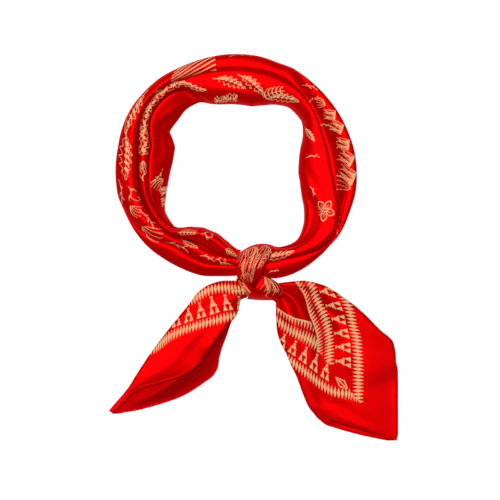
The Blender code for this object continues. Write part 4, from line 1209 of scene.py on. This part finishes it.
def feed(tree, node, **inputs):
    for key, value in inputs.items():
        socket = node.inputs[int(key[1:]) if key[1:].isdigit() else key.replace("_", " ")]
        value = value.socket if isinstance(value, Val) else value
        if isinstance(value, bpy.types.NodeSocket):
            tree.links.new(value, socket)
        else:
            socket.default_value = value


class Paint:
    """One material, with its nodes made and linked by value."""

    def __init__(self, name):
        self.material = bpy.data.materials.new(name)
        self.material.use_nodes = True
        self.tree = self.material.node_tree
        self.skin = next(n for n in self.tree.nodes if n.type == "BSDF_PRINCIPLED")

    def node(self, kind, out=0, settings=None, **inputs):
        return Val(self, add_node(self.tree, kind, settings, **inputs).outputs[out])

    def sum(self, how, *values):
        inputs = {"i%d" % i: value for i, value in enumerate(values)}
        return self.node("ShaderNodeMath", 0, {"operation": how}, **inputs)

    def mix(self, share, one, other):
        return self.node("ShaderNodeMix", 2, {"data_type": "RGBA"}, i0=share, i6=one, i7=other)

    def place(self):
        return self.node("ShaderNodeTexCoord", 3)

    def uneven(self, scale, detail):
        """Soft noise over the object."""
        return self.node("ShaderNodeTexNoise", Vector=self.place(), Scale=scale, Detail=detail)

    def set(self, **values):
        feed(self.tree, self.skin, **values)
        return self.material


RED = (0.62, 0.0006, 0.0010, 1.0)
DEEP_RED = (0.54, 0.0005, 0.0014, 1.0)
CREAM = (0.70, 0.43, 0.20, 1.0)
PEACH = (0.70, 0.35, 0.19, 1.0)
# the back of the cloth: a duller red, painted darker still as shade inside the left corner's mouth
BACK_RED_AND_PAINTED_SHADE = (0.34, 0.0005, 0.0012, 1.0)
THREAD_RED = (0.55, 0.004, 0.008, 1.0)
SHEEN_TINT = (1.0, 0.03, 0.06, 1.0)
SHINE = 0.5             # of bare red silk, and the share of it that the reverse keeps
REVERSE_SHINE = 0.5
BAND_EDGE = 0.22        # how soft the print's edge is on the band, in millimetres
BORDER_EDGE = 0.18      # and on the border

# The border, in millimetres across from its outer row.
TOOTH_PITCH = 3.15
TOOTH_REACH = 4.7
TOOTH_HALF = 1.3
STACK_PITCH = 12.6
INNER_ROW = 24.5
COMB_LINE = 34.6
COMB_REACH = 5.0
COMB_HALF = 1.15
TWILL_PITCH = 0.5
TWILL_WAY = (0.71, 0.60, 0.37)
HALF_ROOT = 0.7071


def inside(gap, soft=BORDER_EDGE):
    """1 where the distance is inside the line, 0 outside, with a short soft edge."""
    return (0.5 - gap / soft).most(0.0).least(1.0)


def off_tooth(along):
    return abs((along / TOOTH_PITCH).fract() - 0.5) * TOOTH_PITCH


def teeth(along, across):
    """How far outside a row of spindle-shaped teeth a place lies."""
    share = (abs(across) / TOOTH_REACH).least(1.0)
    half = TOOTH_HALF * (1.0 - share ** 1.1)
    return (off_tooth(along) - half).most((abs(across) - TOOTH_REACH) * 0.5)


def triangle(x, across, base, tip, half):
    """How far outside a triangle that stands on the line at base and points to tip."""
    share = (across - base) / (tip - base)
    return (abs(x) - half * (1.0 - share)).most(base - across)


def stacks(along, across):
    """Stacks of small triangles: two side by side, one above them and a bar on its tip."""
    x = ((along / STACK_PITCH).fract() - 0.5) * STACK_PITCH
    gap = triangle(abs(x) - 2.55, across, 6.2, 11.8, 2.0)
    upper = triangle(x, across, 12.3, 18.2, 2.6).most(0.28 - abs(across - 14.6))
    bar = (abs(x) - 1.25).most(abs(across - 18.4) - 0.5)
    foot = (abs(x) - 3.4).most(abs(across - 11.95) - 0.3)
    return gap.least(upper).least(bar).least(foot)


def comb(along, across):
    """A thin line with half teeth hanging from it towards the border."""
    half = COMB_HALF * ((across - (COMB_LINE - COMB_REACH)) / COMB_REACH).most(0.0)
    between = (across - COMB_LINE).most(COMB_LINE - COMB_REACH - across)
    return (off_tooth(along) - half).most(between).least(abs(across - COMB_LINE) - 0.45)


def lozenge(along, across):
    """An open lozenge with a bar through it, across the border's corner."""
    up = (along + across) * HALF_ROOT - 19.5
    off = abs(along - across) * HALF_ROOT
    rim = abs(up) / 8.0 + off / 3.4
    outline = (abs(rim - 0.86) - 0.14) * 2.6
    return outline.least((off - 0.4).most(abs(up) - 4.2))


def silk_skin(paint, mask, reverse=None):
    """Red printed silk: cream where mask is 1, with a soft sheen and a fine twill. Where reverse is
    1 it is the duller back of the cloth, painted a darker red that partly stands in for the shade
    inside the folded corner."""
    uneven = paint.uneven(38.0, 3.0)
    red = paint.mix(uneven, RED, DEEP_RED)
    shine = SHINE * (1.0 - mask)
    if reverse is not None:
        # painted shade: the back of the cloth takes a darker red, partly its own and partly
        # standing in for shade
        red = paint.mix(reverse, red, BACK_RED_AND_PAINTED_SHADE)
        shine = shine * (1.0 - (1.0 - REVERSE_SHINE) * reverse)
    ribs = paint.node("ShaderNodeVectorMath", 1, {"operation": "DOT_PRODUCT"},
                      i0=paint.place(), i1=TWILL_WAY)
    twill = (ribs * (2 * math.pi / (TWILL_PITCH * MM))).sine()
    return paint.set(
        Base_Color=paint.mix(mask, red, paint.mix(uneven, CREAM, PEACH)),
        Roughness=0.40 + 0.10 * uneven + 0.06 * mask,
        Metallic=shine,
        Specular_Tint=SHEEN_TINT,
        Specular_IOR_Level=0.03,
        Normal=paint.node("ShaderNodeBump", Strength=0.18, Distance=0.00004, Height=twill),
    )


def leafy_silk():
    """Silk with the print of the band and the knot, held as a distance at each point."""
    paint = Paint("leafy_print_silk")
    gap = paint.node("ShaderNodeAttribute", 2, {"attribute_name": "print"})
    return silk_skin(paint, inside(gap, BAND_EDGE))


def bordered_silk():
    """Silk with the border of teeth and stacked triangles, in millimetres on its own map."""
    paint = Paint("bordered_silk")
    place = paint.node("ShaderNodeUVMap", 0, {"uv_map": "border"})
    parts = add_node(paint.tree, "ShaderNodeSeparateXYZ", i0=place).outputs
    along, across = Val(paint, parts[0]), Val(paint, parts[1])
    # the rows and the stacks end where the next side's border begins
    inner_row = teeth(along, across - INNER_ROW).most(INNER_ROW + COMB_REACH - along)
    gap = teeth(along, across).most(-TOOTH_PITCH - along).least(inner_row)
    gap = gap.least(stacks(along, across).most(2 * STACK_PITCH - along))
    gap = gap.least(comb(along, across).most(COMB_LINE + 4.0 - along))
    gap = gap.least(lozenge(along, across))
    return silk_skin(paint, inside(gap), inside(across - REVERSE_FROM))


def hem_silk():
    paint = Paint("rolled_silk")
    return silk_skin(paint, paint.sum("ADD", 0.0, 0.0))


def thread_silk():
    paint = Paint("silk_thread")
    uneven = paint.uneven(900.0, 2.0)
    return paint.set(Base_Color=paint.mix(uneven, THREAD_RED, DEEP_RED),
                     Roughness=0.35 + 0.2 * uneven, Specular_IOR_Level=0.3)


def stitching():
    """A node tree that lays slanting stitches along a line of points."""
    tree = bpy.data.node_groups.new("slanting_stitches", "GeometryNodeTree")
    sizes = [(size, "INPUT", "Float") for size in STITCH_SIZES]
    for name, way, kind in (("Geometry", "INPUT", "Geometry"), *sizes,
                            ("Thread", "INPUT", "Material"), ("Geometry", "OUTPUT", "Geometry")):
        tree.interface.new_socket(name, in_out=way, socket_type="NodeSocket" + kind)

    def node(kind, settings=None, **inputs):
        return add_node(tree, kind, settings, **inputs).outputs[0]

    given = add_node(tree, "NodeGroupInput").outputs
    line = node("GeometryNodeMeshToCurve", Mesh=given["Geometry"])
    even = node("GeometryNodeResampleCurve", {"mode": "LENGTH"},
                Curve=line, Length=given["Spacing"])
    turned = node("FunctionNodeAlignRotationToVector", {"axis": "X"},
                  Vector=node("GeometryNodeInputTangent"))
    lean = node("FunctionNodeRotateRotation", {"rotation_space": "LOCAL"}, Rotation=turned,
                Rotate_By=node("ShaderNodeCombineXYZ", Z=STITCH_SLANT))
    bead = node("GeometryNodeMeshUVSphere", Segments=8, Rings=6, Radius=0.5)
    size = node("ShaderNodeCombineXYZ", X=given["Length"], Y=given["Width"], Z=given["Width"])
    laid = node("GeometryNodeInstanceOnPoints",
                Points=even, Instance=bead, Rotation=lean, Scale=size)
    real = node("GeometryNodeRealizeInstances", Geometry=laid)
    smooth = node("GeometryNodeSetShadeSmooth", Geometry=real)
    done = node("GeometryNodeSetMaterial", Geometry=smooth, Material=given["Thread"])
    add_node(tree, "NodeGroupOutput", i0=done)
    return tree


# ---------------------------------------------------------------- the scarf

leafy, bordered, rolled, thread = leafy_silk(), bordered_silk(), hem_silk(), thread_silk()

for stretch in STRETCHES:
    ring_stretch(stretch, leafy)
wrap("knot_over_wrap", OVER_WRAP, 10, 108, OVER_PLEATS, dome, OVER_PRINT, leafy)
wrap("knot_side_roll", SIDE_ROLL, 12, 60, SIDE_PLEATS, side_roll_profile, SIDE_PRINT, leafy)
wrap("knot_cross_wrap", CROSS_WRAP, 10, 84, CROSS_PLEATS, crisp_left_dome, CROSS_PRINT, leafy)

FOLD_CONTROL = 4.8      # before this point of the left section the cloth lies behind the fold
PANEL_CONTROL = 8.5     # where the right corner's two panels meet in its section
MITRE_ROW = 6.0         # past this row of the table they meet along the border's mitre
MITRE = ((56.1, -87.9), (90.9, -131.4))
SQUARE = (5.6, 20.5)    # the square inside the border's corner, along and across
SQUARE_CLEAR = 4.6      # how far it keeps off the other panel's outer row


def left_border(plan, controls, rows):
    """The left corner's border: on its front panel only. Its map, and whose faces take another."""
    places = border_places(LEFT_PINS, plan)
    places[controls < FOLD_CONTROL] = REVERSE
    return places, places, rows < 0


def right_border(plan, controls, rows):
    """The right corner's border: two sides of the square that meet at a mitre. The right side's
    map, the left panel's map, and the points that lie on the left panel."""
    right, left = border_places(RIGHT_PINS, plan), border_places(PANEL_PINS, plan)
    start, way = np.array(MITRE[0]), np.array(MITRE[1]) - np.array(MITRE[0])
    beyond = (plan[:, 0] - start[0]) * way[1] - (plan[:, 1] - start[1]) * way[0] > 0
    on_left = np.where(rows < MITRE_ROW, controls < PANEL_CONTROL, beyond)
    in_square = np.all((right > SQUARE[0]) & (right < SQUARE[1]) & (left > SQUARE_CLEAR), axis=1)
    return right, left, on_left & ~in_square


def build_corner(name, form, section, runs, swells, lifts, border, hems):
    """A free corner with its hems."""
    grid, controls, rows = corner_grid(form, section, runs, swells, lifts)
    quads = grid_quads(*controls.shape, False)
    one, other, on_other = border(grid[..., :2].reshape(-1, 2), controls.ravel(), rows.ravel())
    pick = on_other.astype(float)[quads].mean(axis=1) > 0.5
    uv = np.where(pick[:, None, None], other[quads], one[quads])
    piece = make_shell(name + "_silk", grid.reshape(-1, 3), quads, bordered, 0.0, None, uv)
    with_pieces = []
    for node, side, first, last in hems:
        part = grid[first * ROWS_PER_GAP:last]
        edge, inner = (part[:, 0], part[:, 4]) if side == "start" else (part[:, -1], part[:, -5])
        with_pieces += hem(node, edge, inner, rolled, thread)
    ride_as(piece, name)
    flat, area = flat_size(grid)


build_corner(
    "tail_left", LEFT_ROWS, section_left, LEFT_RUNS, LEFT_SWELLS, LEFT_LIFTS, left_border, (
        ("hem_left_front", "end", LEFT_HEM_FROM, -ROWS_PER_GAP // 2),
        ("hem_left_back", "start", LEFT_HEM_FROM, None),
    ))
build_corner(
    "tail_right", RIGHT_ROWS, section_right, RIGHT_RUNS, RIGHT_SWELLS, RIGHT_LIFTS, right_border, (
        ("hem_right_side", "end", SIDE_HEM_FROM, None),
        ("hem_right_end", "start", END_HEM_FROM, None),
    ))

# ---------------------------------------------------------------- the table top, light and camera

TOP_SIZE = 12.0
TOP_SINK = 0.0002       # below the scarf, so that the two never share a plane
TOP_GREYS = ((0.22, 0.22, 0.22, 1), (0.2, 0.2, 0.2, 1))
TOP_GLOW = 0.88         # it shows as plain white under the lamp
SKY_GLOW = 0.03
WHITE = (1, 1, 1, 1)
LAMP_PLACE = (-0.4, 0.5, 2.8)
LAMP_SIZE = 1.8
LAMP_POWER = 105.0
FRAME_WIDTH = 0.435     # of the surface, that the picture shows
FRAME_MIDDLE = (-0.003, -0.00087)

pale = Paint("pale_surface")
uneven = pale.uneven(60.0, 2.0)
bpy.ops.mesh.primitive_plane_add(size=TOP_SIZE, location=(0, 0, -TOP_SINK))
table_top = bpy.context.object
table_top.name = FLOOR
table_top.data.materials.append(pale.set(
    Base_Color=pale.mix(uneven, *TOP_GREYS), Roughness=0.85 + 0.05 * uneven,
    Specular_IOR_Level=0.1, Emission_Color=WHITE, Emission_Strength=TOP_GLOW))

world = bpy.data.worlds.new("studio")
world.use_nodes = True
feed(world.node_tree, world.node_tree.nodes["Background"], i0=WHITE, i1=SKY_GLOW)
bpy.context.scene.world = world

light = bpy.data.lights.new("upper_left", "AREA")
light.size = LAMP_SIZE
light.energy = LAMP_POWER
lamp = bpy.data.objects.new("upper_left", light)
lamp.location = LAMP_PLACE
lamp.rotation_euler = lamp.location.to_track_quat("Z", "Y").to_euler()
bpy.context.scene.collection.objects.link(lamp)

lens = bpy.data.cameras.new("overhead_camera")
lens.lens = 100.0
lens.sensor_width = 36.0
camera = bpy.data.objects.new("overhead_camera", lens)
camera.location = (*FRAME_MIDDLE, FRAME_WIDTH * lens.lens / lens.sensor_width)
bpy.context.scene.collection.objects.link(camera)
bpy.context.scene.camera = camera
bpy.context.scene.view_settings.view_transform = "Standard"
